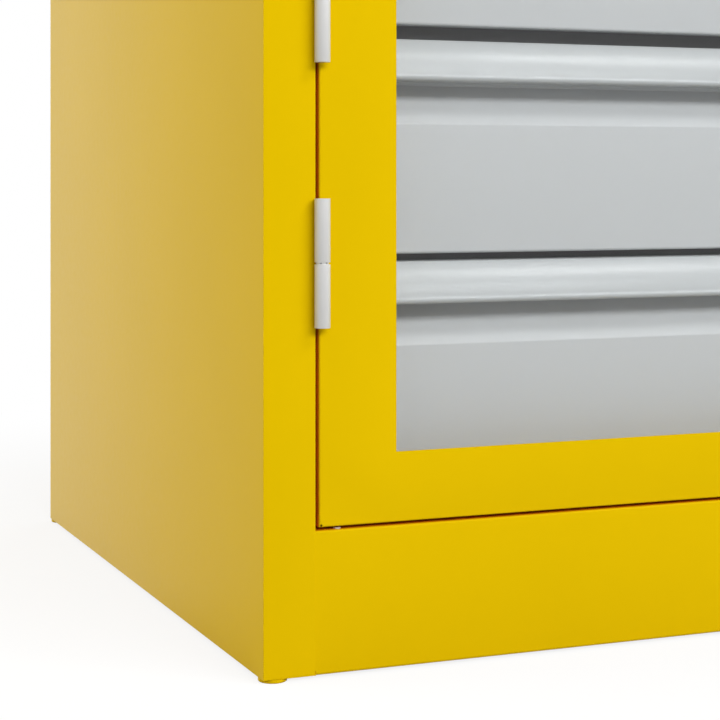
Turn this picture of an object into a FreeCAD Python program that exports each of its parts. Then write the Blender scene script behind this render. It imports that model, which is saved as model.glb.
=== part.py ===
"""Low reagent cabinet in folded sheet steel: a framed window door in front of three drawers.

Millimetres. The front faces -Y, +X is to the right seen from the front, +Z is up. The origin is on the
floor, at the middle of the width and of the whole depth, with the knob's reach counted in the depth.
"""

import FreeCAD, Part

import math
import os

# ---------------------------------------------------------------- driving sizes

# Body shell
width = 600.0
depth = 600.0
body_height = 630.0
body_sheet = 1.25
front_bend = 0.5  # inner radius of the folds that frame the door
rear_bend = 3.0  # inner radius of the two rear corner folds
post_width = 35.0
header_height = 35.0
plinth_height = 90.8
stop_width = 12.0  # flange that the closed door shuts against
rear_flange = 25.0
plinth_flange = 25.0
floor_flange = 20.0
relief = 1.5  # notch where the plinth's lower fold meets a post

# Levelling feet
foot_rise = 2.5
foot_radius = 9.25
foot_edge = 0.8
foot_stud_radius = 3.92
foot_stud_length = 26.0
foot_nut_flats = 13.0
foot_nut_height = 6.5
thread_clearance = 0.08
foot_hole_clearance = 0.6

# Door
door_gap = 2.2
door_sheet = 1.25
door_edge = 1.2  # outer radius round the door's face
door_depth = 16.0
door_lip = 10.0
stile_width = 52.8
rail_height = 44.9
corner_relief = 0.8
stiffener_sheet = 1.25
lip_clearance = 0.5

# Door buffers and rest pads
buffer_radius = 4.0
buffer_thickness = 1.5
buffer_from_end = 60.0
pad_radius = 2.5
pad_height = 1.0
pad_from_post = 16.0
pad_setback = 5.0

# Window
pane_thickness = 3.0
pane_overlap = 12.0
tape_thickness = 1.0
tape_width = 8.0
bead_sheet = 1.5
bead_setback = 3.0
bead_clearance = 4.0  # from the pane's edge to the bead's back
screws_per_bead = 4
screw_radius = 1.5
screw_head_radius = 3.0
screw_head_height = 1.8
screw_length = 8.0
screw_clearance = 0.1

# Hinges
knuckle_radius = 5.0
knuckle_length = 40.0
knuckle_edge = 0.4
knuckle_stand_off = 0.4  # from the knuckle to the body's face
leaf_thickness = 0.9
leaf_depth = 14.0  # how far the leaf reaches behind the front face
leaf_end_margin = 3.0
leaf_root = 3.5  # from the axis to where the leaf leaves the knuckle
pin_radius = 3.0
pin_clearance = 0.05
pin_end_cover = 4.0
washer_radius = 4.0
washer_thickness = 1.2

# Lock
rosette_radius = 17.0
rosette_thickness = 2.5
lock_barrel_radius = 9.5
lock_hole_clearance = 0.2
lock_nut_flats = 22.0
lock_nut_height = 3.0
spindle_radius = 4.0
spindle_clearance = 0.05
knob_clearance = 0.3
knob_radius = 15.0
knob_base_height = 6.0
knob_grip_height = 12.0
knob_grip_width = 9.0
knob_edge = 1.5
key_cylinder_radius = 3.6
key_cylinder_proud = 0.6
key_slot_length = 4.4
key_slot_width = 1.0
key_slot_depth = 3.0
cam_thickness = 2.5
cam_width = 12.0
cam_reach = 26.0
cam_clearance = 0.4

# Drawer housing
housing_sheet = 1.25
spacer_length = 492.0
spacer_lip = 15.0
cross_rail_height = 20.0
cross_rail_depth = 15.0
cross_rail_clearance = 2.0
housing_clearance = 1.75  # from the drawer fronts' backs to the housing

# Drawer fronts
front_setback = 40.0  # from the post's face to the flat of a drawer front
drawer_front_width = 416.0
first_drawer_rise = 24.6  # from the ledge to the lowest front
drawer_gaps = (4.9, 10.0)  # above the first and above the second front
top_drawer_margin = 37.8  # from the highest front to the header
front_sheet = 1.25
front_bend_inner = 0.8
web_setback = 16.0
web_top_margin = 2.0
ramp_top = 30.0
crease_drop = 56.0
front_return = 12.0

# Drawer grips
grip_wall = 1.5
grip_top_reach = 3.0  # in front of the flat
grip_nose_reach = 14.0
grip_nose_drop = 24.2  # from the top to the bead's centre
grip_sagitta = 1.65
bead_radius = 2.3
grip_top_edge = 1.2
grip_lip_setback = 12.0
grip_lip_drop = 29.6
grip_end_thickness = 2.0

# Drawer trays
tray_sheet = 1.0
tray_length = 470.0
tray_lift = 8.0
tray_rim_drop = 22.3  # from the front's top down to the tray's rim
tray_front_drop = 4.0  # from the front's top down to the tray's front wall
tray_hem = 5.0

# Runners
runner_width = 13.0
runner_sheet = 1.2
runner_height = 45.0
runner_length = 470.0
runner_lift = 30.0  # from the tray's bottom to the runner's
runner_play = 0.4
runner_web_play = 0.6
runner_front_margin = 3.0

# ---------------------------------------------------------------- places that follow

left = -width / 2
right = width / 2
rosette_face = rosette_thickness + knob_clearance
knob_reach = rosette_face + knob_base_height + knob_grip_height
front = -(depth - knob_reach) / 2
rear = front + depth
base = foot_rise
top = base + body_height
outer_bend = front_bend + body_sheet

post_edge = left + post_width
ledge = base + plinth_height
header_bottom = top - header_height
rebate = door_depth + buffer_thickness
stop_front = front + rebate
stop_back = stop_front + body_sheet
stop_low = ledge + stop_width
stop_high = header_bottom - stop_width
rear_panel_front = rear - 2 * body_sheet
rear_clear = rear - body_sheet - rear_bend

door_left = post_edge + door_gap
door_right = -door_left
door_bottom = ledge + door_gap
door_top = header_bottom - door_gap
door_back = front + door_depth
window_left = door_left + stile_width
window_right = -window_left
window_bottom = door_bottom + rail_height
window_top = door_top - rail_height

pane_front = front + door_sheet + tape_thickness
pane_back = pane_front + pane_thickness
bead_outer = pane_overlap + bead_clearance

hinge_x = door_left
hinge_y = front - knuckle_radius - knuckle_stand_off
door_height = door_top - door_bottom
hinge_heights = (door_bottom + door_height / 3, door_top - door_height / 3)

lock_x = (window_right + bead_outer + door_right - door_lip - lip_clearance) / 2
lock_z = (door_bottom + door_top) / 2
cam_front = door_back + lock_nut_height + cam_clearance
cam_back = cam_front + cam_thickness

front_half = drawer_front_width / 2
flat_y = front + front_setback
tray_front = flat_y + web_setback + front_sheet
housing_front = tray_front + housing_clearance
rail_plane = front_half - front_sheet / 2
drawers_height = header_bottom - top_drawer_margin - ledge - first_drawer_rise
drawer_count = len(drawer_gaps) + 1
drawer_front_height = (drawers_height - sum(drawer_gaps)) / drawer_count
tray_half = rail_plane - runner_width


def drawer_bottoms():
    """Heights of the drawer fronts' lower edges."""
    heights = [ledge + first_drawer_rise]
    for gap in drawer_gaps:
        heights.append(heights[-1] + drawer_front_height + gap)
    return heights


# ---------------------------------------------------------------- shaping helpers


def point(a, b):
    return FreeCAD.Vector(a, b, 0)


def box(x, y, z):
    """Block between two limits on each axis."""
    corner = FreeCAD.Vector(x[0], y[0], z[0])
    return Part.makeBox(x[1] - x[0], y[1] - y[0], z[1] - z[0], corner)


def rod(centre, radius, length, axis):
    return Part.makeCylinder(radius, length, FreeCAD.Vector(*centre), FreeCAD.Vector(*axis))


def hexagon(centre, flats, height, axis, first_corner):
    """Hexagonal bar with its width across flats. Its first corner is turned that many degrees from X."""
    corner_radius = flats / math.sqrt(3)
    turns = [math.radians(60 * i + first_corner) for i in range(7)]
    ring = [point(corner_radius * math.cos(a), corner_radius * math.sin(a)) for a in turns]
    bar = Part.Face(Part.makePolygon(ring)).extrude(FreeCAD.Vector(0, 0, height))
    turn = FreeCAD.Rotation(FreeCAD.Vector(0, 0, 1), FreeCAD.Vector(*axis))
    bar.Placement = FreeCAD.Placement(FreeCAD.Vector(*centre), turn)
    return bar


def corner_arc(before, corner, after, radius):
    """Start, middle and end of the arc that rounds a corner."""
    one = (before - corner).normalize()
    two = (after - corner).normalize()
    half = one.getAngle(two) / 2
    run = radius / math.tan(half)
    centre = corner + (one + two).normalize() * (radius / math.sin(half))
    middle = centre + (corner - centre).normalize() * radius
    return corner + one * run, middle, corner + two * run


def rounded_wire(points, radii):
    """Closed flat wire whose corners have their own radii."""
    corners = []
    for i, radius in enumerate(radii):
        here = points[i]
        if radius:
            corners.append(corner_arc(points[i - 1], here, points[(i + 1) % len(points)], radius))
        else:
            corners.append((here,))
    edges = []
    for i, corner in enumerate(corners):
        if len(corner) == 3:
            edges.append(Part.Arc(*corner).toShape())
        following = corners[(i + 1) % len(corners)][0]
        if corner[-1].distanceToPoint(following) > 1e-6:
            edges.append(Part.LineSegment(corner[-1], following).toShape())
    return Part.Wire(edges)


def sheet_section(path, thickness, bends):
    """Face of a folded sheet. The path is its outer face, and the metal lies on the path's left."""
    ways = [(path[i + 1] - path[i]).normalize() for i in range(len(path) - 1)]
    sides = [point(-way.y, way.x) for way in ways]
    other, near, far = [path[0] + sides[0] * thickness], [0], [0]
    for i, bend in enumerate(bends):
        spread = 1 + sides[i].dot(sides[i + 1])
        other.append(path[i + 1] + (sides[i] + sides[i + 1]) * (thickness / spread))
        turns_left = ways[i].x * ways[i + 1].y - ways[i].y * ways[i + 1].x > 0
        near.append(bend + thickness if turns_left else bend)
        far.append(bend if turns_left else bend + thickness)
    other.append(path[-1] + sides[-1] * thickness)
    points = list(path) + other[::-1]
    return Part.Face(rounded_wire(points, near + [0, 0] + far[::-1]))


def upright(face, low, high):
    """A section drawn as x, y, stretched from one height to another."""
    solid = face.extrude(FreeCAD.Vector(0, 0, high - low))
    solid.translate(FreeCAD.Vector(0, 0, low))
    return solid


def across(face, start, end):
    """A section drawn as y, z, stretched from one x to another."""
    solid = face.extrude(FreeCAD.Vector(0, 0, end - start))
    turn = FreeCAD.Rotation(FreeCAD.Vector(1, 1, 1), 120)
    solid.Placement = FreeCAD.Placement(FreeCAD.Vector(start, 0, 0), turn)
    return solid


def mirrored(shape):
    """The same piece on the other side of the cabinet."""
    return shape.mirror(FreeCAD.Vector(0, 0, 0), FreeCAD.Vector(1, 0, 0))


def joined(first, *others):
    return first.fuse(list(others)).removeSplitter()


def rounded(shape, radius, chosen):
    """The shape with a fillet on every edge that chosen accepts."""
    return shape.makeFillet(radius, [edge for edge in shape.Edges if chosen(edge)])


def lies(edge, axis, value):
    """True if the whole edge has one coordinate at a value."""
    span = edge.BoundBox
    ends = {"x": (span.XMin, span.XMax), "y": (span.YMin, span.YMax), "z": (span.ZMin, span.ZMax)}
    return all(abs(end - value) < 1e-4 for end in ends[axis])


# ---------------------------------------------------------------- body shell


def foot_places():
    """Centre of each foot, tangent to the shell's outer faces."""
    x, near, far = left + foot_radius, front + foot_radius, rear - foot_radius
    return {
        "front_left": (x, near),
        "front_right": (-x, near),
        "rear_left": (x, far),
        "rear_right": (-x, far),
    }


def cap_plate(reach, low, high):
    """Flat flange that closes one end of a side panel, with the shell's corner folds."""
    corners = [point(left, rear), point(left, front), point(left + reach, front), point(left + reach, rear)]
    radii = [rear_bend + body_sheet, outer_bend, 0, 0]
    return upright(Part.Face(rounded_wire(corners, radii)), low, high)


def side_panel():
    """Left side: rear flange, side wall, front post, door rebate and stop, folded from one sheet."""
    path = [
        point(left + rear_flange, rear),
        point(left, rear),
        point(left, front),
        point(post_edge, front),
        point(post_edge, stop_front),
        point(post_edge + stop_width, stop_front),
    ]
    bends = [rear_bend, front_bend, front_bend, front_bend]
    wall = upright(sheet_section(path, body_sheet, bends), base, top)
    stop = (post_edge, post_edge + stop_width + body_sheet)
    fold = (stop_front - front_bend, stop_back)
    wall = wall.cut([box(stop, fold, (base, stop_low)), box(stop, fold, (stop_high, top))])
    seam = (post_edge - outer_bend, post_edge)
    skin = (front, front + body_sheet)
    panel = joined(
        wall,
        cap_plate(post_width, top - body_sheet, top),
        cap_plate(post_width, base, base + body_sheet),
        box(seam, skin, (base, ledge - outer_bend)),
        box(seam, skin, (header_bottom + outer_bend, top)),
    )
    for height in (base, top):
        panel = rounded(
            panel,
            front_bend + body_sheet / 2,
            lambda e: lies(e, "z", height) and (lies(e, "x", left) or lies(e, "y", front)),
        )
    hole = foot_stud_radius + foot_hole_clearance
    for x, y in foot_places().values():
        panel = panel.cut(rod((x, y, base), hole, body_sheet, (0, 0, 1)))
    return panel


def plinth_panel():
    path = [
        point(stop_front, stop_low),
        point(stop_front, ledge),
        point(front, ledge),
        point(front, base),
        point(front + plinth_flange, base),
    ]
    section = sheet_section(path, body_sheet, [front_bend] * 3)
    panel = across(section, post_edge, -post_edge)
    notch = box((post_edge, post_edge + relief), (front, front + 2 * outer_bend), (base, base + relief))
    return panel.cut([notch, mirrored(notch)])


def header_rail():
    path = [
        point(front + post_width, top),
        point(front, top),
        point(front, header_bottom),
        point(stop_front, header_bottom),
        point(stop_front, stop_high),
    ]
    return across(sheet_section(path, body_sheet, [front_bend] * 3), post_edge, -post_edge)


def floor_panel():
    """Floor pan with its four edges turned down, level with the plinth's ledge."""
    x = (left + body_sheet, right - body_sheet)
    y = (stop_back, rear_clear)
    pan = box(x, y, (ledge - floor_flange, ledge))
    under = box(
        (x[0] + body_sheet, x[1] - body_sheet),
        (y[0] + body_sheet, y[1] - body_sheet),
        (ledge - floor_flange, ledge - body_sheet),
    )
    return pan.cut(under)


def top_panel():
    """Top sheet, welded under the flanges of the shell and notched round both posts."""
    edge = left + body_sheet + rear_bend
    height = (top - 2 * body_sheet, top - body_sheet)
    sheet = box((edge, -edge), (front + outer_bend, rear_panel_front), height)
    post = box((left, post_edge), (front, stop_back), height)
    return sheet.cut([post, mirrored(post)])


def rear_panel():
    edge = left + body_sheet + rear_bend
    back = rear - body_sheet
    sheet = box((edge, -edge), (rear_panel_front, back), (base + body_sheet, top - body_sheet))
    flange = box((post_edge, -post_edge), (back - post_width, back), (top - body_sheet, top))
    return joined(sheet, flange)


# ---------------------------------------------------------------- feet


def foot(x, y):
    """Glide disc and threaded stud in one piece."""
    disc = rod((x, y, 0), foot_radius, foot_rise, (0, 0, 1))
    disc = rounded(disc, foot_edge, lambda e: lies(e, "z", 0))
    return joined(disc, rod((x, y, foot_rise), foot_stud_radius, foot_stud_length, (0, 0, 1)))


def foot_nuts():
    nuts = []
    for x, y in foot_places().values():
        centre = (x, y, base + body_sheet)
        nut = hexagon(centre, foot_nut_flats, foot_nut_height, (0, 0, 1), 0)
        bore = rod(centre, foot_stud_radius + thread_clearance, foot_nut_height, (0, 0, 1))
        nuts.append(nut.cut(bore))
    return nuts


# ---------------------------------------------------------------- hinges


def knuckle(low):
    barrel = rod((hinge_x, hinge_y, low), knuckle_radius, knuckle_length, (0, 0, 1))
    ends = (low, low + knuckle_length)
    return rounded(barrel, knuckle_edge, lambda e: any(lies(e, "z", end) for end in ends))


def leaf(x, low):
    """Plate that runs from the knuckle back into the gap beside the door."""
    y = (hinge_y + leaf_root, front + leaf_depth)
    return box((x, x + leaf_thickness), y, (low + leaf_end_margin, low + knuckle_length - leaf_end_margin))


def frame_leaf(middle):
    """Lower half of a hinge, on the post, with its bore right through."""
    low = middle - washer_thickness / 2 - knuckle_length
    bore = rod((hinge_x, hinge_y, low), pin_radius, knuckle_length, (0, 0, 1))
    return joined(knuckle(low), leaf(post_edge, low)).cut(bore)


def door_leaf(middle):
    """Upper half of a hinge, on the door, with a blind bore from below."""
    low = middle + washer_thickness / 2
    radius = pin_radius + pin_clearance
    bore = rod((hinge_x, hinge_y, low), radius, knuckle_length - pin_end_cover, (0, 0, 1))
    return joined(knuckle(low), leaf(door_left - leaf_thickness, low)).cut(bore)


def hinge_pin(middle):
    low = middle - washer_thickness / 2 - knuckle_length
    length = 2 * knuckle_length + washer_thickness - 2 * pin_end_cover
    return rod((hinge_x, hinge_y, low), pin_radius, length, (0, 0, 1))


def hinge_washer(middle):
    low = (hinge_x, hinge_y, middle - washer_thickness / 2)
    ring = rod(low, washer_radius, washer_thickness, (0, 0, 1))
    return ring.cut(rod(low, pin_radius + pin_clearance, washer_thickness, (0, 0, 1)))


# ---------------------------------------------------------------- door


def window_block(outset, y):
    """Block on the window's outline, grown by outset on all four sides."""
    x = (window_left - outset, window_right + outset)
    return box(x, y, (window_bottom - outset, window_top + outset))


def lock_hole(y):
    radius = lock_barrel_radius + lock_hole_clearance
    return rod((lock_x, y[0], lock_z), radius, y[1] - y[0], (0, 1, 0))


def door_skin():
    """Face sheet with the window cut out, its edges folded back and in."""

    def inset(by, y):
        return box((door_left + by, door_right - by), y, (door_bottom + by, door_top - by))

    pan = inset(0, (front, door_back))
    edges = (door_left, door_right, door_bottom, door_top)
    pan = rounded(
        pan,
        door_edge,
        lambda e: lies(e, "y", front)
        and any(lies(e, axis, at) for axis, at in zip("xxzz", edges)),
    )
    inside = inset(door_sheet, (front + door_sheet, door_back - door_sheet))
    behind = inset(door_lip, (front + door_sheet, door_back))
    skin = pan.cut([inside, behind, window_block(0, (front, door_back))])
    reliefs = []
    for x in (door_left + 2 * corner_relief, door_right - 2 * corner_relief):
        for z in (door_bottom + 2 * corner_relief, door_top - 2 * corner_relief):
            reliefs.append(rod((x, front, z), corner_relief, 2 * door_sheet, (0, 1, 0)))
    return skin.cut(reliefs + [lock_hole((front, front + door_sheet))])


def channel(x, z, open_ends):
    """U channel with its open side against the door's face; open_ends is the axis it runs along."""
    y = (front + door_sheet, door_back)
    margin_x = 0 if open_ends == "x" else stiffener_sheet
    margin_z = 0 if open_ends == "z" else stiffener_sheet
    hollow = box(
        (x[0] + margin_x, x[1] - margin_x),
        (y[0], y[1] - stiffener_sheet),
        (z[0] + margin_z, z[1] - margin_z),
    )
    return box(x, y, z).cut(hollow)


def door_stiffeners():
    """Two stile channels and two rail channels around the window."""
    margin = door_lip + lip_clearance
    inner_left = window_left - bead_outer
    stile = channel((door_left + margin, inner_left), (door_bottom + margin, door_top - margin), "z")
    span = (inner_left, -inner_left)
    low = channel(span, (door_bottom + margin, window_bottom - bead_outer), "x")
    high = channel(span, (window_top + bead_outer, door_top - margin), "x")
    hole = lock_hole((front + door_sheet, door_back))
    pieces = [stile, mirrored(stile).cut(hole), low, high]
    return [piece.cut(bead_screw_shanks(screw_clearance)) for piece in pieces]


def window_pane():
    return window_block(pane_overlap, (pane_front, pane_back))


def pane_tape():
    y = (front + door_sheet, pane_front)
    return window_block(pane_overlap, y).cut(window_block(pane_overlap - tape_width, y))


def bead_limits():
    """Outer and inner limits of the glazing beads: x, then z."""
    out_x, out_z = window_left - bead_outer, window_bottom - bead_outer
    return out_x, out_z, window_top + bead_outer


def glazing_beads():
    """Four angle strips that press the pane forward. The upright pair runs the full height."""
    out_x, low, high = bead_limits()
    foot_width = bead_outer - bead_setback
    path = [
        point(out_x, door_back),
        point(out_x, pane_back),
        point(out_x + foot_width, pane_back),
    ]
    upright_bead = upright(sheet_section(path, bead_sheet, [0]), low, high)
    path = [
        point(pane_back, low + foot_width),
        point(pane_back, low),
        point(door_back, low),
    ]
    span = out_x + foot_width
    lower_bead = across(sheet_section(path, bead_sheet, [0]), span, -span)
    upper_bead = lower_bead.mirror(FreeCAD.Vector(0, 0, (low + high) / 2), FreeCAD.Vector(0, 0, 1))
    beads = [upright_bead, mirrored(upright_bead), lower_bead, upper_bead]
    return [bead.cut(bead_screw_shanks(screw_clearance)) for bead in beads]


def bead_screw_places():
    """Where each bead's screw head sits, and the way its shank points."""
    out_x, low, high = bead_limits()
    y = (pane_back + bead_sheet + door_back) / 2
    places = []
    for i in range(screws_per_bead):
        share = (i + 0.5) / screws_per_bead
        z = window_bottom + share * (window_top - window_bottom)
        x = window_left + share * (window_right - window_left)
        places.append(((out_x + bead_sheet, y, z), (-1, 0, 0)))
        places.append(((-out_x - bead_sheet, y, z), (1, 0, 0)))
        places.append(((x, y, low + bead_sheet), (0, 0, -1)))
        places.append(((x, y, high - bead_sheet), (0, 0, 1)))
    return places


def bead_screw_shanks(clearance):
    return [rod(at, screw_radius + clearance, screw_length, way) for at, way in bead_screw_places()]


def bead_screws():
    screws = []
    for at, way in bead_screw_places():
        back = [-step for step in way]
        head = rod(at, screw_head_radius, screw_head_height, back)
        screws.append(joined(head, rod(at, screw_radius, screw_length, way)))
    return screws


def door_buffers():
    """Rubber discs on the stop flange at the lock side."""
    x = -post_edge - stop_width / 2
    heights = (stop_low + buffer_from_end, stop_high - buffer_from_end)
    return [rod((x, stop_front, z), buffer_radius, buffer_thickness, (0, -1, 0)) for z in heights]


def door_rest_pads():
    """Small nylon discs on the plinth's ledge, under the door's ends."""
    x = post_edge + pad_from_post
    return [rod((s * x, front + pad_setback, ledge), pad_radius, pad_height, (0, 0, 1)) for s in (1, -1)]


# ---------------------------------------------------------------- lock


def lock_housing():
    """Rosette on the door's face and the barrel that reaches through the stile."""
    rosette = rod((lock_x, front, lock_z), rosette_radius, rosette_thickness, (0, -1, 0))
    face = front - rosette_thickness
    rosette = rounded(rosette, rosette_thickness / 3, lambda e: lies(e, "y", face))
    barrel = rod((lock_x, front, lock_z), lock_barrel_radius, door_depth + lock_nut_height, (0, 1, 0))
    length = rosette_thickness + door_depth + lock_nut_height
    radius = spindle_radius + spindle_clearance
    return joined(rosette, barrel).cut(rod((lock_x, face, lock_z), radius, length, (0, 1, 0)))


def lock_nut():
    centre = (lock_x, door_back, lock_z)
    nut = hexagon(centre, lock_nut_flats, lock_nut_height, (0, 1, 0), 30)
    return nut.cut(rod(centre, lock_barrel_radius, lock_nut_height, (0, 1, 0)))


def lock_spindle():
    start = front - rosette_face
    return rod((lock_x, start, lock_z), spindle_radius, cam_back - start, (0, 1, 0))


def lock_knob():
    """Round base with an upright grip across it."""
    back = front - rosette_face
    face = back - knob_base_height
    tip = face - knob_grip_height
    disc = rod((lock_x, back, lock_z), knob_radius, knob_base_height, (0, -1, 0))
    disc = rounded(disc, knob_edge, lambda e: lies(e, "y", face))
    column = rod((lock_x, face, lock_z), knob_radius - knob_edge, knob_grip_height, (0, -1, 0))
    half = knob_grip_width / 2
    bar = box((lock_x - half, lock_x + half), (tip, face), (lock_z - knob_radius, lock_z + knob_radius))
    grip = column.common(bar)
    grip = rounded(grip, knob_edge, lambda e: lies(e, "y", tip))
    seat = rod((lock_x, tip, lock_z), key_cylinder_radius, knob_grip_height, (0, 1, 0))
    return joined(disc, grip).cut(seat)


def key_cylinder():
    tip = front - knob_reach
    length = knob_grip_height - key_cylinder_proud
    face = tip + key_cylinder_proud
    core = rod((lock_x, face, lock_z), key_cylinder_radius, length, (0, 1, 0))
    slot_x = (lock_x - key_slot_width / 2, lock_x + key_slot_width / 2)
    slot_z = (lock_z - key_slot_length / 2, lock_z + key_slot_length / 2)
    return core.cut(box(slot_x, (face, face + key_slot_depth), slot_z))


def lock_cam():
    """Latch tongue, stored upright and clear of the stop flange."""
    half = cam_width / 2
    tongue = box((lock_x - half, lock_x + half), (cam_front, cam_back), (lock_z, lock_z + cam_reach - half))
    ends = [
        rod((lock_x, cam_front, lock_z), half, cam_thickness, (0, 1, 0)),
        rod((lock_x, cam_front, lock_z + cam_reach - half), half, cam_thickness, (0, 1, 0)),
    ]
    hole = rod((lock_x, cam_front, lock_z), spindle_radius, cam_thickness, (0, 1, 0))
    return joined(tongue, *ends).cut(hole)


# ---------------------------------------------------------------- drawer housing


def spacer():
    """Left inner wall: folded sheet that carries the runners inboard of the door's swing."""
    wall = left + body_sheet
    back = housing_front + spacer_length
    path = [
        point(wall, housing_front + spacer_lip),
        point(wall, housing_front),
        point(-rail_plane, housing_front),
        point(-rail_plane, back),
        point(wall, back),
        point(wall, back - spacer_lip),
    ]
    return upright(sheet_section(path, housing_sheet, [front_bend] * 4), ledge, header_bottom)


def cross_rail_tops():
    """Upper faces of the rails: one under each tray, and one over the top drawer."""
    bottoms = drawer_bottoms()
    tops = [bottom + tray_lift - cross_rail_clearance for bottom in bottoms]
    return tops + [bottoms[-1] + drawer_front_height + cross_rail_height]


def cross_rails():
    rails = []
    for high in cross_rail_tops():
        low = high - cross_rail_height
        path = [
            point(housing_front + cross_rail_depth, high),
            point(housing_front, high),
            point(housing_front, low),
            point(housing_front + cross_rail_depth, low),
        ]
        section = sheet_section(path, housing_sheet, [front_bend] * 2)
        rails.append(across(section, -rail_plane, rail_plane))
    return rails


# ---------------------------------------------------------------- drawers


def runner_channel(bottom, wall, edge, shrink, opens_out):
    """One runner member on the left: a C channel between two x limits, less tall by shrink at each side.

    Its web is at the wall side, or at the tray side if opens_out is true.
    """
    low = bottom + tray_lift + runner_lift + shrink
    high = bottom + tray_lift + runner_lift + runner_height - shrink
    y = (housing_front + runner_front_margin, housing_front + runner_front_margin + runner_length)
    outer = box((wall, edge), y, (low, high))
    hollow = (wall, edge - runner_sheet) if opens_out else (wall + runner_sheet, edge)
    return outer.cut(box(hollow, y, (low + runner_sheet, high - runner_sheet)))


def runner_pair(bottom, member):
    """Left and right channels of one member: 0 is fixed, 1 is the middle one, 2 is the drawer's."""
    wall, tray = -rail_plane, -tray_half
    step = runner_sheet + runner_play
    reach = runner_sheet + runner_web_play
    limits = [
        (wall, tray - reach),
        (wall + reach, tray - reach),
        (wall + 2 * reach, tray),
    ]
    piece = runner_channel(bottom, *limits[member], member * step, member == 2)
    return [piece, mirrored(piece)]


def drawer_tray(bottom):
    """Sheet tray with its rim folded in, and a front wall that carries the drawer front."""
    low = bottom + tray_lift
    high = bottom + drawer_front_height - tray_rim_drop
    y = (tray_front, tray_front + tray_length)
    outer = box((-tray_half, tray_half), y, (low, high))

    def inset(by, z):
        return box((-tray_half + by, tray_half - by), (y[0] + by, y[1] - by), z)

    body = outer.cut([inset(tray_sheet, (low + tray_sheet, high - tray_sheet)), inset(tray_hem, (low + tray_sheet, high))])
    wall_top = bottom + drawer_front_height - tray_front_drop
    wall = box((-tray_half, tray_half), (tray_front, tray_front + tray_sheet), (low, wall_top))
    return joined(body, wall)


def front_profile(bottom):
    """Corner points of a drawer front, from its web's top to its lower return, and their bends."""
    high = bottom + drawer_front_height
    points = [
        point(flat_y + web_setback, high - web_top_margin),
        point(flat_y + web_setback, high - ramp_top),
        point(flat_y, high - crease_drop),
        point(flat_y, bottom),
        point(flat_y + front_return, bottom),
    ]
    return points, [front_bend_inner] * 3


def drawer_front(bottom):
    points, bends = front_profile(bottom)
    sheet = across(sheet_section(points, front_sheet, bends), -front_half, front_half)
    outer = front_bend_inner + front_sheet
    corners = [points[1], points[2], points[3], point(tray_front, bottom), point(tray_front, points[1].y)]
    end_face = Part.Face(rounded_wire(corners, [0, outer, outer, 0, 0]))
    end = across(end_face, -front_half, -front_half + front_sheet)
    return joined(sheet, end, mirrored(end))


def grip_outline(bottom):
    """Closed section of the grip: flat top, bowed nose, bead, underside and hanging lip."""
    high = bottom + drawer_front_height
    crown = point(flat_y - grip_top_reach, high)
    bead = point(flat_y - grip_nose_reach + bead_radius, high - grip_nose_drop)
    nose = bead + point(-bead_radius, 0)
    chord = nose - crown
    outward = point(chord.y, -chord.x).normalize()
    middle = (crown + nose) * 0.5 + outward * grip_sagitta
    underside = bead.y - bead_radius
    slant = bead_radius * math.sqrt(0.5)
    lip = flat_y + grip_lip_setback
    web = flat_y + web_setback
    lip_low = high - grip_lip_drop
    corners = [
        point(bead.x, underside),
        point(lip, underside),
        point(lip, lip_low),
        point(web, lip_low),
        point(web, high),
        crown,
    ]
    edges = [Part.LineSegment(a, b).toShape() for a, b in zip(corners, corners[1:])]
    edges.append(Part.Arc(crown, middle, nose).toShape())
    edges.append(Part.Arc(nose, bead + point(-slant, -slant), corners[0]).toShape())
    return Part.Wire(edges)


def drawer_grip(bottom):
    """Hollow grip strip between its two end caps."""
    outline = grip_outline(bottom)
    half = front_half - grip_end_thickness
    strip = across(Part.Face(outline), -half, half)
    high = bottom + drawer_front_height
    strip = rounded(
        strip, grip_top_edge, lambda e: lies(e, "z", high) and lies(e, "y", flat_y - grip_top_reach)
    )
    hollow = outline.makeOffset2D(-grip_wall)
    return strip.cut(across(Part.Face(hollow), -half, half))


def grip_ends(bottom):
    cap = across(Part.Face(grip_outline(bottom)), -front_half, -front_half + grip_end_thickness)
    return [cap, mirrored(cap)]


# ---------------------------------------------------------------- the cabinet


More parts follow.
